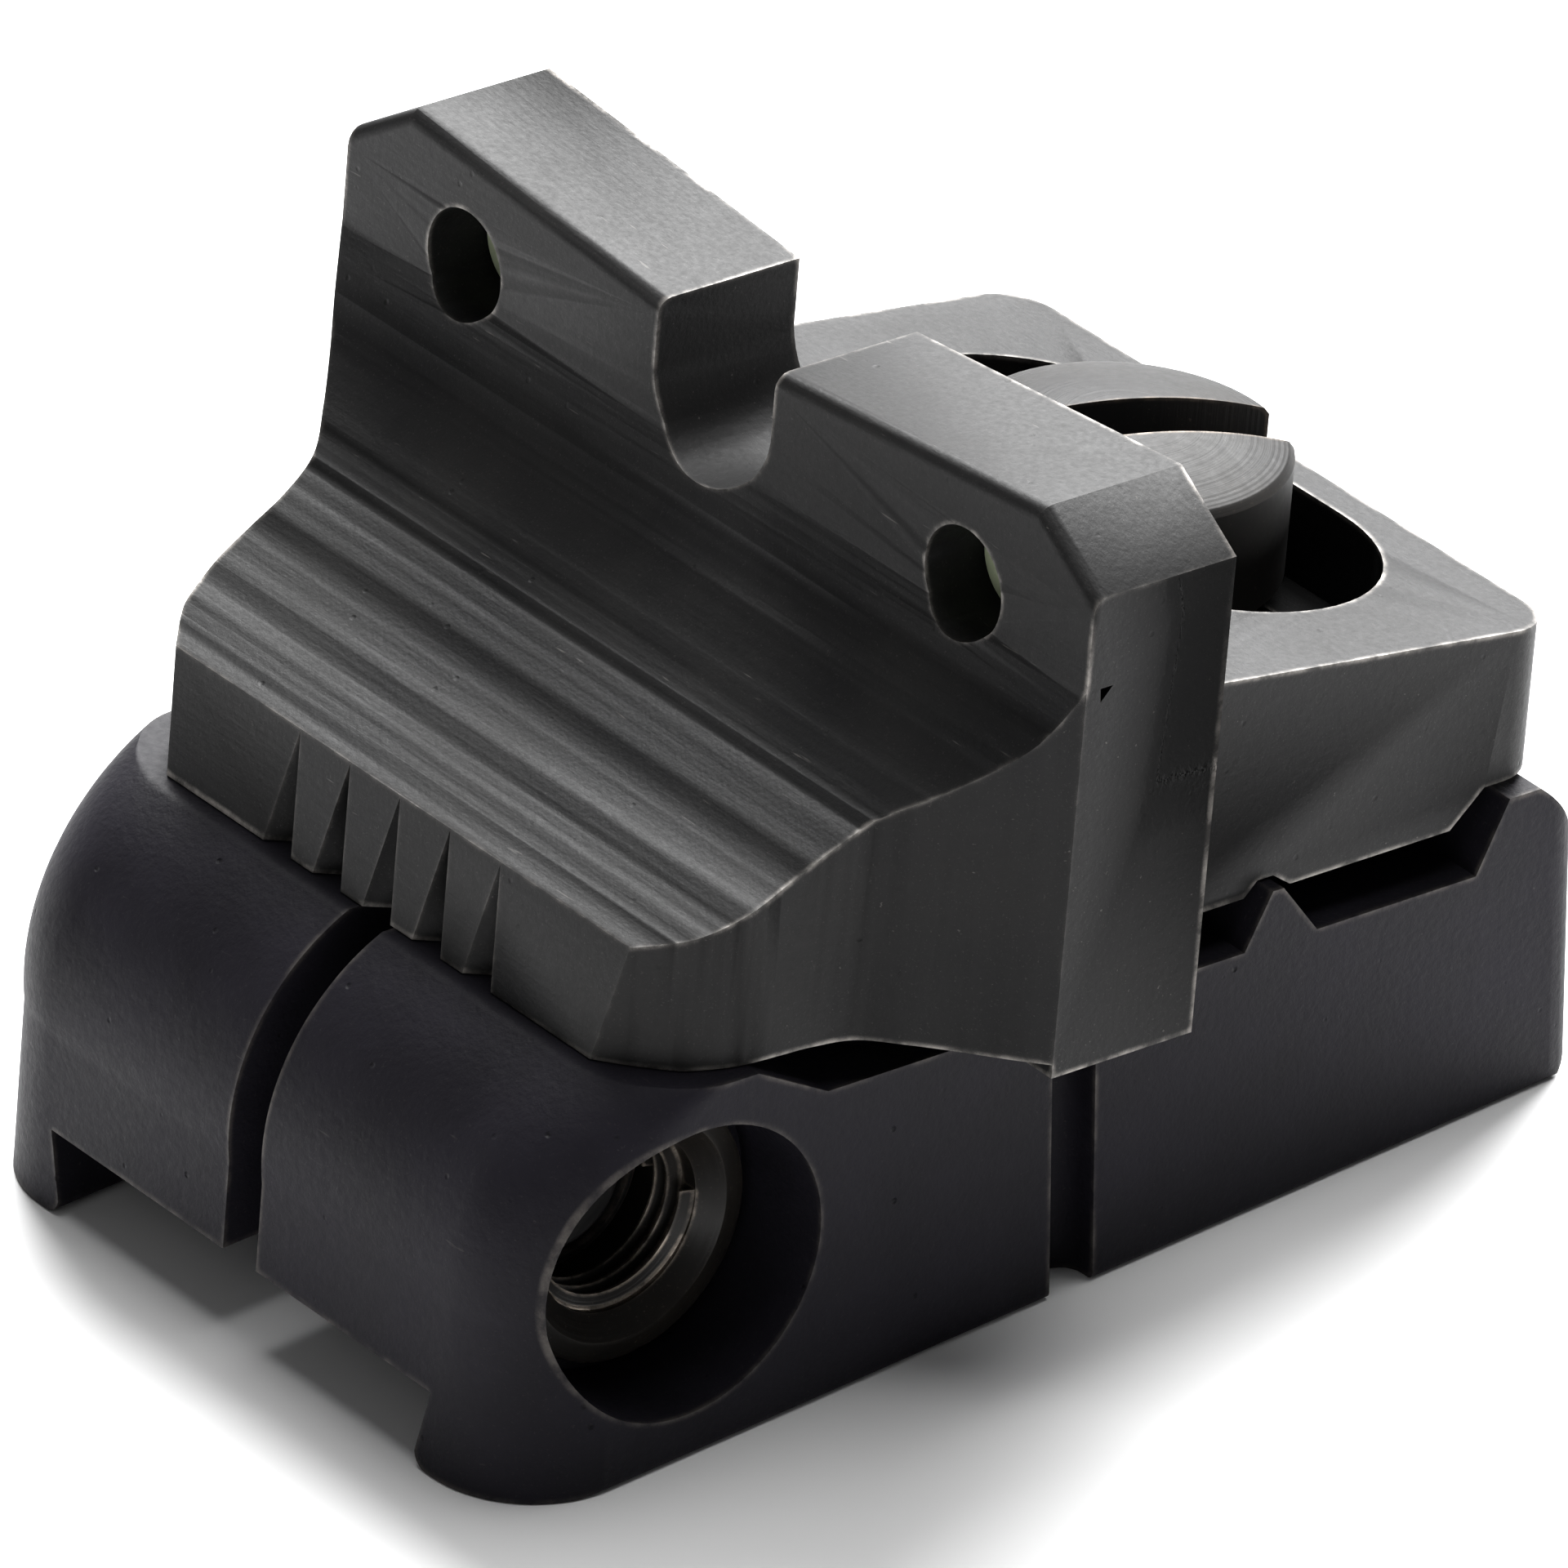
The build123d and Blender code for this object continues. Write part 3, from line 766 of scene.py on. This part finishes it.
# ---------------------------------------------------------------- sub-assemblies
@dataclass
class ClampBase:
    """The split base that closes on the rail."""

    length: float = 24.72
    half_width: float = 8.0
    rear_lean: float = 0.3
    shoulder_start: float = 3.4
    shoulder_mid: Flat = (-11.13, 6.35)
    shoulder_top_v: float = -7.1
    plan_radius: float = 2.3
    front_radius: float = 0.8
    foot_inner: float = 0.35
    foot_outer: float = 0.15
    nose: tuple[Flat, Flat] = ((11.94, 5.5), (12.36, 4.3))
    chin: tuple[Flat, Flat, Flat] = ((12.36, 1.0), (12.22, 0.4), (11.79, 0.0))
    margin: float = 1.0
    roof: float = 1.63
    roof_half: float = 5.5
    mouth_half: float = 5.1
    slit: float = 0.95
    slit_end: float = 0.34
    slit_end_radius: float = 0.9
    relief_y: float = 0.36
    relief_width: float = 1.0
    relief_depth: float = 0.8
    clamp: Flat = (-8.31, 3.8)
    hole_radius: float = 1.8
    pocket_radius: float = 2.9
    pocket_depth: float = 2.25
    nut_body_radius: float = 2.05
    nut_body_length: float = 2.8
    lock_v: float = 9.9
    lock_radius: float = 2.0
    land_w: float = 0.24
    floor_w: float = -0.6
    softness: float = 0.11

    def side_outline(self) -> list[Vector]:
        """The base seen from its side.

        Returns:
            The outline's corners, on the left face.
        """
        back = -self.length / 2 - self.margin
        steps = [
            (self.shoulder_top_v, self.land_w), (-4.6, self.land_w), (-2.95, self.floor_w),
            (6.65, self.floor_w), (7.2, 0.5), (7.45, 0.5), (8.35, self.floor_w),
            (12.1, self.floor_w), (12.75, 0.8), (13.5, 0.8),
        ]
        seat = [tuple(SEAT.at(0, v, w).yz) for v, w in steps]
        nose = arc_through(seat[-1], *self.nose, 12)
        chin = arc_through(*self.chin, 8)
        line = [(back, 0.0), (back, seat[0][1] + self.margin), *seat, *nose[1:], *chin]
        return [Vector((-self.half_width, y, z)) for y, z in line]

    def plan_outline(self) -> list[Vector]:
        """The base seen from above, with its rounded front corners.

        Returns:
            The outline's corners, below the base.
        """
        half, end, front = self.half_width, self.length / 2, self.front_radius
        line = [
            *arc((half - front, end - front), front, 0, 90, 8),
            *arc((-half + front, end - front), front, 90, 180, 8),
            (-half, -2 * end), (half, -2 * end),
        ]
        return [Vector((x, y, -1)) for x, y in line]

    def shoulder_form(self) -> Workpiece:
        """The outside of the shoulder, whose rounded plan climbs its profile without turning.

        Returns:
            The form, which the base is trimmed to.
        """
        half, rear, radius = self.half_width, -self.length / 2, self.plan_radius
        start = (rear + self.rear_lean, self.shoulder_start)
        top = tuple(SEAT.at(0, self.shoulder_top_v, self.land_w).yz)
        slope = self.rear_lean / self.shoulder_start
        path = [(rear - slope, -1.0), *arc_through(start, self.shoulder_mid, top, 28), (top[0] + 0.6, top[1] + 0.3)]
        plan = [
            *arc((-half + radius, radius), radius, 180, 270, 18), *arc((half - radius, radius), radius, 270, 360, 18),
            (half, 2 * self.length), (-half, 2 * self.length),
        ]
        form = Workpiece.chain("shoulder_form", [Vector((x, y + path[0][0], path[0][1])) for x, y in plan])
        bpy.ops.mesh.select_all(action="SELECT")
        bpy.ops.mesh.edge_face_add()
        for (y, z), (next_y, next_z) in zip(path, path[1:]):
            bpy.ops.mesh.extrude_region_move(TRANSFORM_OT_translate={"value": (0, next_y - y, next_z - z)})
        form.mend()
        return form

    def section_outline(self) -> list[Vector]:
        """The base cut across, with the undercut channel and round feet.

        Returns:
            The outline's corners, behind the base.
        """
        foot, edge, half = self.foot_inner, self.foot_outer, self.half_width
        inner = self.mouth_half + foot * 1.2
        right = [
            (self.roof_half, self.roof), (self.mouth_half + 0.09, foot * 1.05),
            *arc((inner, foot), foot, 190, 270, 5), *arc((half - edge, edge), edge, 270, 360, 5), (half, 14.0),
        ]
        line = [*right, *((-x, z) for x, z in reversed(right))]
        return [Vector((x, -self.length, z)) for x, z in line]

    def relief_cutter(self, side: int) -> Workpiece:
        """The cutter of one upright relief groove.

        Args:
            side: 1 for the right face, -1 for the left.

        Returns:
            The cutter.
        """
        half = self.relief_width / 2
        inner = self.half_width - self.relief_depth + half
        line = [(self.half_width + 1, -half), *arc((inner, 0), half, 270, 90, 14), (self.half_width + 1, half)]
        corners = [Vector((side * x, y + self.relief_y, -1)) for x, y in line]
        return Workpiece.prism("relief_cutter", corners, Z_AXIS * 14)

    def build(self) -> None:
        """Model the base and dress it."""
        base = Workpiece.prism("base_body", self.side_outline(), X_AXIS * 2 * self.half_width)
        plan = Workpiece.prism("base_plan", self.plan_outline(), Z_AXIS * 14)
        section = Workpiece.prism("base_section", self.section_outline(), Y_AXIS * 2 * self.length)
        base.combine("INTERSECT", self.shoulder_form(), plan, section)
        y, z = self.clamp
        half = self.slit / 2
        slit_line = [(-half, -self.length), (half, -self.length), (half, self.slit_end), (-half, self.slit_end)]
        slit = Workpiece.prism("slit", [Vector((a, b, -1)) for a, b in slit_line], Z_AXIS * 14)
        slit_end = Workpiece.round_bar("slit_end", Vector((0, self.slit_end, 6)), Z_AXIS, self.slit_end_radius, 14)
        hole = Workpiece.round_bar("clamp_hole", Vector((0, y, z)), X_AXIS, self.hole_radius, 30)
        pockets = [
            Workpiece.round_bar(
                "pocket", Vector((side * (self.half_width + 2 - self.pocket_depth / 2), y, z)), X_AXIS,
                self.pocket_radius, self.pocket_depth + 4,
            )
            for side in (1, -1)
        ]
        floor = self.half_width - self.pocket_depth
        nut_bore = Workpiece.round_bar(
            "nut_bore", Vector((floor - self.nut_body_length / 2 + 0.25, y, z)), X_AXIS,
            self.nut_body_radius, self.nut_body_length + 0.5,
        )
        lock_hole = Workpiece.round_bar(
            "lock_hole", SEAT.at(0, self.lock_v, -3), SEAT.upward, self.lock_radius, 12
        )
        base.combine("DIFFERENCE", slit, slit_end, self.relief_cutter(1), self.relief_cutter(-1))
        base.combine("DIFFERENCE", hole, *pockets, nut_bore, lock_hole)
        base.soften(self.softness)
        base.settle(BASE_FINISH, "base", "base_steel", "base")


@dataclass
class SightLeaf:
    """The sliding leaf: blade, ramp, toe and front block in one piece."""

    seat_w: float = 0.27
    half_width: float = 10.53
    thickness: float = 3.22
    shoulder_w: float = 9.52
    corner_w: float = 10.6
    corner_in: float = 1.64
    notch_half: float = 1.65
    notch_top: float = 9.97
    notch_bottom: float = 7.15
    notch_radius: float = 1.45
    toe_top: tuple[float, float, float] = (6.5, -6.52, 2.6)
    toe_foot: Flat = (5.7, -6.87)
    ramp: tuple[Flat, ...] = ((-5.2, 3.12), (-4.0, 3.75), (-2.8, 4.4), (-1.7, 5.2), (-0.65, 6.35), (0.0, 7.7))
    flare: tuple[Flat, ...] = (
        (7.05, -6.0), (7.35, -5.6), (7.64, -4.8), (7.72, -4.0), (7.79, -3.2), (8.0, -2.4), (8.6, -1.75),
        (9.3, -1.1), (10.0, -0.5), (10.53, 0.0),
    )
    block_half: float = 7.62
    block_front: float = 13.9
    block_top: float = 5.67
    block_slope: float = 0.129
    block_radius: float = 1.0
    opening_radius: float = 3.2
    opening_straight: float = 2.45
    opening_floor: float = 2.1
    shank_radius: float = 2.1
    lock_v: float = 9.9
    dot: Flat = (7.05, 8.3)
    dot_radius: float = 1.05
    dot_depth: float = 2.6
    groove_count: int = 5
    groove_pitch: float = 1.43
    groove_half: float = 0.46
    groove_depth: float = 0.55
    softness: float = 0.13

    def ramp_solid(self) -> Workpiece:
        """The ramp and toe, drawn from the side and trimmed to the flare.

        Returns:
            The solid.
        """
        half, top_v, top_w = self.toe_top
        foot_half, foot_v = self.toe_foot
        curve = fair_curve([(top_v, top_w), *self.ramp], 6)
        line = [(0.6, self.seat_w), (foot_v, self.seat_w), *curve, (0.6, self.ramp[-1][1])]
        outline = [SEAT.at(-self.half_width, v, w) for v, w in line]
        solid = Workpiece.prism("ramp", outline, X_AXIS * 2 * self.half_width)
        edge = [(foot_half, foot_v - 0.3), *fair_curve([(half, top_v), *self.flare], 6), (self.half_width, 1.0)]
        plan = [*edge, *((-u, v) for u, v in reversed(edge))]
        corners = [SEAT.at(u, v, -0.5) for u, v in plan]
        trim = Workpiece.prism("flare", corners, SEAT.upward * 12)
        return solid.combine("INTERSECT", trim)

    def blade_solid(self) -> Workpiece:
        """The upright blade with its notch still uncut.

        Returns:
            The solid.
        """
        side = self.half_width
        right = [(self.notch_half, self.notch_top), (side - self.corner_in, self.corner_w), (side, self.shoulder_w)]
        line = [(-side, 0.0), *((-u, w) for u, w in reversed(right)), *right, (side, 0.0)]
        blade = Workpiece.prism("blade", [SEAT.at(u, 0, w) for u, w in line], SEAT.forward * self.thickness)
        rear = SEAT.at(0, 0, 0).dot(SEAT.forward)

        def on_rear_top(middle: Vector, along: Vector) -> bool:
            """Whether an edge runs round the rear face's top and sides."""
            height = (middle - SEAT.at(0, 0, 0)).dot(SEAT.upward)
            return abs(middle.dot(SEAT.forward) - rear) < 0.01 and height > 5.5 and abs(along.dot(SEAT.forward)) < 0.1

        blade.bevel_where(on_rear_top, 0.3, 4)
        return blade

    def block_solid(self) -> Workpiece:
        """The front block with its rounded upright corners.

        Returns:
            The solid.
        """
        back = self.thickness - 0.5
        top_back = self.block_top - self.block_slope * self.thickness
        top_front = self.block_top - self.block_slope * self.block_front
        line = [
            (back, self.seat_w), (back, top_back), (self.thickness, top_back), (self.block_front, top_front),
            (self.block_front, 0.95), (12.45, 0.95), (11.7, self.seat_w),
        ]
        outline = [SEAT.at(-self.block_half, v, w) for v, w in line]
        block = Workpiece.prism("block", outline, X_AXIS * 2 * self.block_half)
        front = SEAT.at(0, self.block_front, 0).dot(SEAT.forward)
        block.bevel_where(
            lambda middle, along: abs(middle.dot(SEAT.forward) - front) < 0.01 and abs(along.x) < 0.1,
            self.block_radius, 8,
        )
        return block

    def slot_cutter(self, radius: float, low: float, high: float) -> Workpiece:
        """The cutter of a slot with round ends, across the block.

        Args:
            radius: Half the slot's width.
            low: Height of its floor.
            high: Height of its top.

        Returns:
            The cutter.
        """
        line = [
            *arc((self.opening_straight, self.lock_v), radius, -90, 90, 28),
            *arc((-self.opening_straight, self.lock_v), radius, 90, 270, 28),
        ]
        return Workpiece.prism("slot_cutter", [SEAT.at(u, v, low) for u, v in line], SEAT.upward * (high - low))

    def notch_cutter(self) -> Workpiece:
        """The cutter of the sighting notch.

        Returns:
            The cutter.
        """
        side, low = self.notch_half, self.notch_bottom + self.notch_radius
        bowl = arc_through((-side, low), (0, self.notch_bottom), (side, low), 24)
        if min(w for _, w in bowl) < self.notch_bottom - 0.05 or max(w for _, w in bowl) > low + 0.05:
            bowl = [(-u, w) for u, w in arc_through((side, low), (0, self.notch_bottom), (-side, low), 24)]
        line = [(-side, 12.0), *bowl, (side, 12.0)]
        return Workpiece.prism("notch_cutter", [SEAT.at(u, -2, w) for u, w in line], SEAT.forward * 7)

    def index_cutters(self) -> list[Workpiece]:
        """The cutters of the index grooves, modelled once and copied.

        Returns:
            One cutter for each groove.
        """
        _, top_v, top_w = self.toe_top
        foot = self.toe_foot[1]
        first = -(self.groove_count - 1) / 2 * self.groove_pitch
        low = [(-self.groove_half, foot - 0.05), (0.0, foot + self.groove_depth), (self.groove_half, foot - 0.05)]
        corners = [SEAT.at(first + u, v, self.seat_w - 0.3) for u, v in low]
        apex = SEAT.at(first, top_v - 0.01, top_w + 0.02)
        cutter = Workpiece.chain("index_cutter", corners)
        bpy.ops.mesh.select_all(action="SELECT")
        bpy.ops.mesh.edge_face_add()
        middle = sum(corners, Vector()) / 3
        bpy.ops.mesh.extrude_region_move(TRANSFORM_OT_translate={"value": apex - middle})
        bpy.ops.transform.resize(value=(0.01, 0.01, 0.01), center_override=apex)
        cutter.mend()
        cutters = [cutter]
        for step in range(1, self.groove_count):
            cutter.hold()
            bpy.ops.object.duplicate(linked=False)
            copy = Workpiece(bpy.context.object)
            copy.edit()
            bpy.ops.transform.translate(value=X_AXIS * step * self.groove_pitch)
            copy.leave()
            cutters.append(copy)
        return cutters

    def guide_cutter(self) -> Workpiece:
        """The cutter of the groove that runs over the base's rib.

        Returns:
            The cutter.
        """
        line = [(6.84, self.seat_w - 0.01), (7.14, 0.56), (7.51, 0.56), (7.95, self.seat_w - 0.01)]
        corners = [SEAT.at(-9, v, w) for v, w in line]
        return Workpiece.prism("guide_cutter", corners, X_AXIS * 18)

    def build(self) -> None:
        """Model the leaf and dress it."""
        leaf = self.blade_solid()
        leaf.obj.name = "sight_leaf_body"
        leaf.combine("UNION", self.ramp_solid(), self.block_solid())
        leaf.combine("DIFFERENCE", self.notch_cutter(), self.slot_cutter(self.opening_radius, self.opening_floor, 12))
        leaf.combine("DIFFERENCE", self.slot_cutter(self.shank_radius, -2, 5), self.guide_cutter())
        leaf.combine("DIFFERENCE", *self.index_cutters())
        for side in (1, -1):
            middle = SEAT.at(side * self.dot[0], self.dot_depth / 2 - 1, self.dot[1])
            leaf.combine(
                "DIFFERENCE",
                Workpiece.round_bar("dot_cutter", middle, SEAT.forward, self.dot_radius, self.dot_depth + 2),
            )
        leaf.soften(self.softness)
        leaf.settle(LEAF_FINISH, "leaf", "leaf_steel", "sight_leaf")


@dataclass
class LockScrew:
    """The domed screw that locks the leaf, with the split washer under its head."""

    v: float = 9.9
    head_radius: float = 3.1
    head_foot: float = 2.75
    head_rim: float = 5.25
    dome: float = 5.75
    tip: float = -3.6
    core_radius: float = 1.68
    crest_radius: float = 1.95
    pitch: float = 0.5
    slot_width: float = 1.31
    slot_depth: float = 1.15
    slot_angle: float = 69.5
    washer_radius: float = 2.7
    washer_bore: float = 2.02
    washer_foot: float = 2.14
    washer_top: float = 2.68

    def screw(self) -> None:
        """Model the screw and dress it."""
        rim, radius = self.head_rim, self.head_radius
        crown = arc_through((-radius, rim), (0, self.dome), (radius, rim), 40)
        crown = [(r, h) for r, h in crown if r >= -0.001]
        if crown[0][0] > crown[-1][0]:
            crown = crown[::-1]
        profile = [
            (0.0, self.tip), (self.core_radius - 0.25, self.tip), (self.core_radius, self.tip + 0.25),
            (self.core_radius, 1.2), (self.crest_radius, 1.45), (self.crest_radius, self.head_foot),
            (radius - 0.15, self.head_foot), (radius, self.head_foot + 0.15), (radius, rim - 0.1),
            (radius - 0.1, rim + 0.03), *[(r, h) for r, h in reversed(crown) if 0 <= r < radius - 0.15],
        ]
        profile[-1] = (0.0, self.dome)
        screw = Workpiece.lathe("lock_screw_turned", profile, SEAT.at(0, self.v, 0), SEAT.upward, ring=False)
        turn = math.radians(self.slot_angle)
        along, across = Vector((math.cos(turn), math.sin(turn))), Vector((-math.sin(turn), math.cos(turn)))
        corners = [along * (a * 6) + across * (b * self.slot_width / 2) for a, b in ((-1, -1), (1, -1), (1, 1), (-1, 1))]
        floor = self.dome - self.slot_depth
        line = [SEAT.at(c.x, self.v + c.y, floor) for c in corners]
        screw.combine("DIFFERENCE", Workpiece.prism("slot_cutter", line, SEAT.upward * 4))
        screw.soften(0.07, 34, 3)
        turns = int((1.2 - self.tip - 0.4) / self.pitch)
        screw.attach(
            Workpiece.thread(
                "lock_thread", SEAT.at(0, self.v, self.tip + 0.25), SEAT.upward,
                self.core_radius, self.crest_radius, self.pitch, turns,
            )
        )
        screw.settle(LOCK_SCREW_FINISH, "lock_screw", "screw_steel", "lock_screw")

    def washer(self) -> None:
        """Model the split washer and dress it."""
        low, high = self.washer_foot, self.washer_top
        inner, outer = self.washer_bore, self.washer_radius - 0.02
        profile = [
            (inner, low + 0.05), (inner + 0.05, low), (outer - 0.08, low), (outer, low + 0.08),
            (outer, high - 0.08), (outer - 0.08, high), (inner + 0.05, high), (inner, high - 0.05),
        ]
        washer = Workpiece.lathe("spring_washer_ring", profile, SEAT.at(0, self.v, 0), SEAT.upward, ring=True)
        turn = math.radians(200)
        along, across = Vector((math.cos(turn), math.sin(turn))), Vector((-math.sin(turn), math.cos(turn)))
        corners = [along * a + across * b for a, b in ((1, -0.17), (4, -0.17), (4, 0.17), (1, 0.17))]
        line = [SEAT.at(c.x, self.v + c.y, low - 0.5) for c in corners]
        split = Workpiece.prism("split_cutter", line, SEAT.upward * 2 + SEAT.forward * 0.3)
        washer.combine("DIFFERENCE", split)
        washer.settle(WASHER_FINISH, "lock_screw", "washer_steel", "spring_washer")

    def build(self) -> None:
        """Model and dress both pieces."""
        self.screw()
        self.washer()


@dataclass
class ClampHardware:
    """The nut, washer and screw that draw the cheeks together."""

    centre: Flat = (-8.31, 3.8)
    floor: float = 5.75
    nut_face: float = 6.25
    nut_radius: float = 2.6
    nut_body: float = 2.05
    nut_body_length: float = 2.8
    bore: float = 1.75
    thread_crest: float = 1.5
    thread_pitch: float = 0.35
    screw_end: float = 4.4
    screw_core: float = 1.45
    screw_crest: float = 1.69
    head_radius: float = 2.65
    head_height: float = 1.25
    washer_radius: float = 2.8
    washer_bore: float = 1.8
    washer_thickness: float = 0.4
    slot_width: float = 0.75
    slot_depth: float = 0.7
    slot_angle: float = 35.0

    def on_axis(self, x: float) -> Vector:
        """The place on the clamp line at that distance to the right."""
        return Vector((x, *self.centre))

    def nut(self) -> None:
        """Model the nut with its cut thread and dress it."""
        face, floor = self.nut_face, self.floor
        end = floor - self.nut_body_length
        profile = [
            (self.bore, end), (self.nut_body - 0.02, end), (self.nut_body - 0.02, floor),
            (self.nut_radius - 0.1, floor), (self.nut_radius, floor + 0.08), (self.nut_radius, face - 0.12),
            (self.nut_radius - 0.04, face - 0.04), (self.nut_radius - 0.12, face), (self.bore + 0.42, face),
            (self.bore + 0.38, face - 0.03), (self.bore, face - 0.36),
        ]
        nut = Workpiece.lathe("clamp_nut_turned", profile, self.on_axis(0), X_AXIS, ring=True, steps=96)
        start = self.screw_end + 0.1
        turns = int((face - 0.6 - start) / self.thread_pitch)
        nut.attach(
            Workpiece.thread(
                "nut_thread", self.on_axis(start), X_AXIS, self.bore, self.thread_crest, self.thread_pitch, turns
            )
        )
        nut.settle(NUT_FINISH, "base", "nut_steel", "clamp_nut")

    def washer(self) -> None:
        """Model the washer under the screw's head and dress it."""
        high, low = -self.floor, -self.floor - self.washer_thickness
        inner, outer = self.washer_bore, self.washer_radius
        profile = [
            (inner, low + 0.04), (inner + 0.04, low), (outer - 0.1, low), (outer, low + 0.1),
            (outer, high - 0.03), (outer - 0.03, high), (inner + 0.04, high), (inner, high - 0.04),
        ]
        washer = Workpiece.lathe("clamp_washer_ring", profile, self.on_axis(0), X_AXIS, ring=True)
        washer.settle(WASHER_FINISH, "clamp_screw", "washer_steel", "clamp_washer")

    def screw(self) -> None:
        """Model the clamp screw and dress it."""
        seat = -self.floor - self.washer_thickness
        top = seat - self.head_height
        radius, core, end = self.head_radius, self.screw_core, self.screw_end
        rounding = [(radius - 0.3 + 0.3 * math.cos(t), top + 0.3 - 0.3 * math.sin(t)) for t in
                    (math.radians(15 * step) for step in range(7))]
        profile = [
            (0.0, end), (core - 0.25, end), (core, end - 0.25), (core, -2.9), (self.screw_crest, -3.15),
            (self.screw_crest, seat), (radius - 0.08, seat), (radius, seat - 0.08), *rounding, (0.0, top),
        ]
        screw = Workpiece.lathe("clamp_screw_turned", profile, self.on_axis(0), X_AXIS, ring=False)
        turn = math.radians(self.slot_angle)
        along = Vector((0, math.cos(turn), math.sin(turn)))
        across = Vector((0, -math.sin(turn), math.cos(turn)))
        corners = [
            self.on_axis(top + self.slot_depth) + along * (a * 6) + across * (b * self.slot_width / 2)
            for a, b in ((-1, -1), (1, -1), (1, 1), (-1, 1))
        ]
        screw.combine("DIFFERENCE", Workpiece.prism("slot_cutter", corners, X_AXIS * -4))
        screw.soften(0.06, 34, 2)
        turns = int((end - 0.3 + 2.9) / self.thread_pitch)
        screw.attach(
            Workpiece.thread(
                "clamp_thread", self.on_axis(-2.9), X_AXIS, core, self.screw_crest, self.thread_pitch, turns
            )
        )
        screw.settle(CLAMP_SCREW_FINISH, "clamp_screw", "screw_steel", "clamp_screw")

    def build(self) -> None:
        """Model and dress the three pieces."""
        self.nut()
        self.washer()
        self.screw()


@dataclass
class LuminousVials:
    """The two luminous vials at the bottom of the blade's holes."""

    u: float = 7.05
    w: float = 8.3
    radius: float = 1.04
    face_v: float = 1.25
    back_v: float = 2.6

    def build(self) -> None:
        """Model and dress the vials, each with a rounded rim and a crowned face."""
        radius = self.radius
        profile = [
            (0.0, self.back_v), (radius - 0.08, self.back_v), (radius, self.back_v - 0.08),
            (radius, self.face_v + 0.16), (radius - 0.04, self.face_v + 0.07), (radius - 0.12, self.face_v + 0.02),
            (radius * 0.6, self.face_v - 0.02), (radius * 0.3, self.face_v - 0.035), (0.0, self.face_v - 0.04),
        ]
        for name, side in (("left", -1), ("right", 1)):
            centre = SEAT.at(side * self.u, 0, self.w)
            vial = Workpiece.lathe(f"{name}_vial_glass", profile, centre, SEAT.forward, ring=False, steps=48)
            vial.settle(VIAL_FINISH, "leaf", "luminous", f"{name}_vial")


@dataclass
class Studio:
    """The pale floor, the soft lights and the camera."""

    azimuth: float = 50.86785
    elevation: float = 31.55971
    roll: float = 0.38874
    distance: float = 406.03
    shift: Flat = (-1.95502, -6.27969)
    frame_offset: tuple[float, float, float] = (0.0, -2.28, 0.39)
    lens: float = 517.04
    floor_size: float = 4.0
    world: float = 0.09

    def camera(self) -> None:
        """Make the camera and look through it."""
        turn, rise, roll = (math.radians(a) for a in (self.azimuth, self.elevation, self.roll))
        back = Vector((math.sin(turn) * math.cos(rise), -math.cos(turn) * math.cos(rise), math.sin(rise)))
        level = Vector((math.cos(turn), math.sin(turn), 0))
        above = back.cross(level)
        right = level * math.cos(roll) + above * math.sin(roll)
        up = above * math.cos(roll) - level * math.sin(roll)
        eye = back * self.distance - right * self.shift[0] - up * self.shift[1] + Vector(self.frame_offset)
        view = bpy.data.cameras.new("camera")
        view.lens = self.lens
        view.sensor_width = 36
        view.clip_start = 0.01
        holder = bpy.data.objects.new("camera", view)
        bpy.context.scene.collection.objects.link(holder)
        turned = Matrix((right, up, back)).transposed().to_4x4()
        holder.matrix_world = Matrix.Translation(eye * MM) @ turned
        bpy.context.scene.camera = holder

    def floor(self) -> None:
        """Lay the pale floor under the sight."""
        Workpiece.clear()
        bpy.ops.mesh.primitive_plane_add(size=self.floor_size, location=(0, 0, -0.00002))
        ground = bpy.context.object
        ground.name = "studio_floor"
        ground.data.materials.append(FLOOR_FINISH.material())

    def soft_light(self, name: str, azimuth: float, elevation: float, distance: float, size: float, power: float) -> None:
        """Hang one soft light that faces the sight.

        Args:
            name: The light's name.
            azimuth: Which way it hangs, in degrees from the rear towards the right.
            elevation: Its height in degrees.
            distance: How far it hangs, in metres.
            size: Its width in metres.
            power: Its power in watts.
        """
        turn, rise = math.radians(azimuth), math.radians(elevation)
        out = Vector((math.sin(turn) * math.cos(rise), -math.cos(turn) * math.cos(rise), math.sin(rise)))
        lamp = bpy.data.lights.new(name, "AREA")
        lamp.shape = "DISK"
        lamp.size = size
        lamp.energy = power
        holder = bpy.data.objects.new(name, lamp)
        bpy.context.scene.collection.objects.link(holder)
        holder.matrix_world = Matrix.Translation(out * distance) @ out.to_track_quat("Z", "Y").to_matrix().to_4x4()

    def build(self) -> None:
        """Set up the studio."""
        self.camera()
        self.floor()
        self.soft_light("back_softbox", 222, 42, 0.6, 0.5, 17.0)
        self.soft_light("top_softbox", 190, 78, 0.7, 0.5, 3.0)
        self.soft_light("front_fill", 20, 35, 0.8, 0.6, 0.3)
        sky = bpy.data.worlds.new("studio_air")
        sky.use_nodes = True
        backdrop = sky.node_tree.nodes["Background"]
        backdrop.inputs["Color"].default_value = (1.0, 1.0, 1.0, 1.0)
        backdrop.inputs["Strength"].default_value = self.world
        bpy.context.scene.world = sky
        bpy.context.scene.view_settings.view_transform = "Standard"


def main() -> None:
    """Build the studio and every sub-assembly."""
    logging.basicConfig(level=logging.INFO, format="%(name)s %(message)s")
    for assembly in (Studio(), ClampBase(), SightLeaf(), LockScrew(), ClampHardware(), LuminousVials()):
        assembly.build()
        LOG.info("built %s", type(assembly).__name__)
    bpy.context.view_layer.update()


if __name__ == "__main__":
    main()
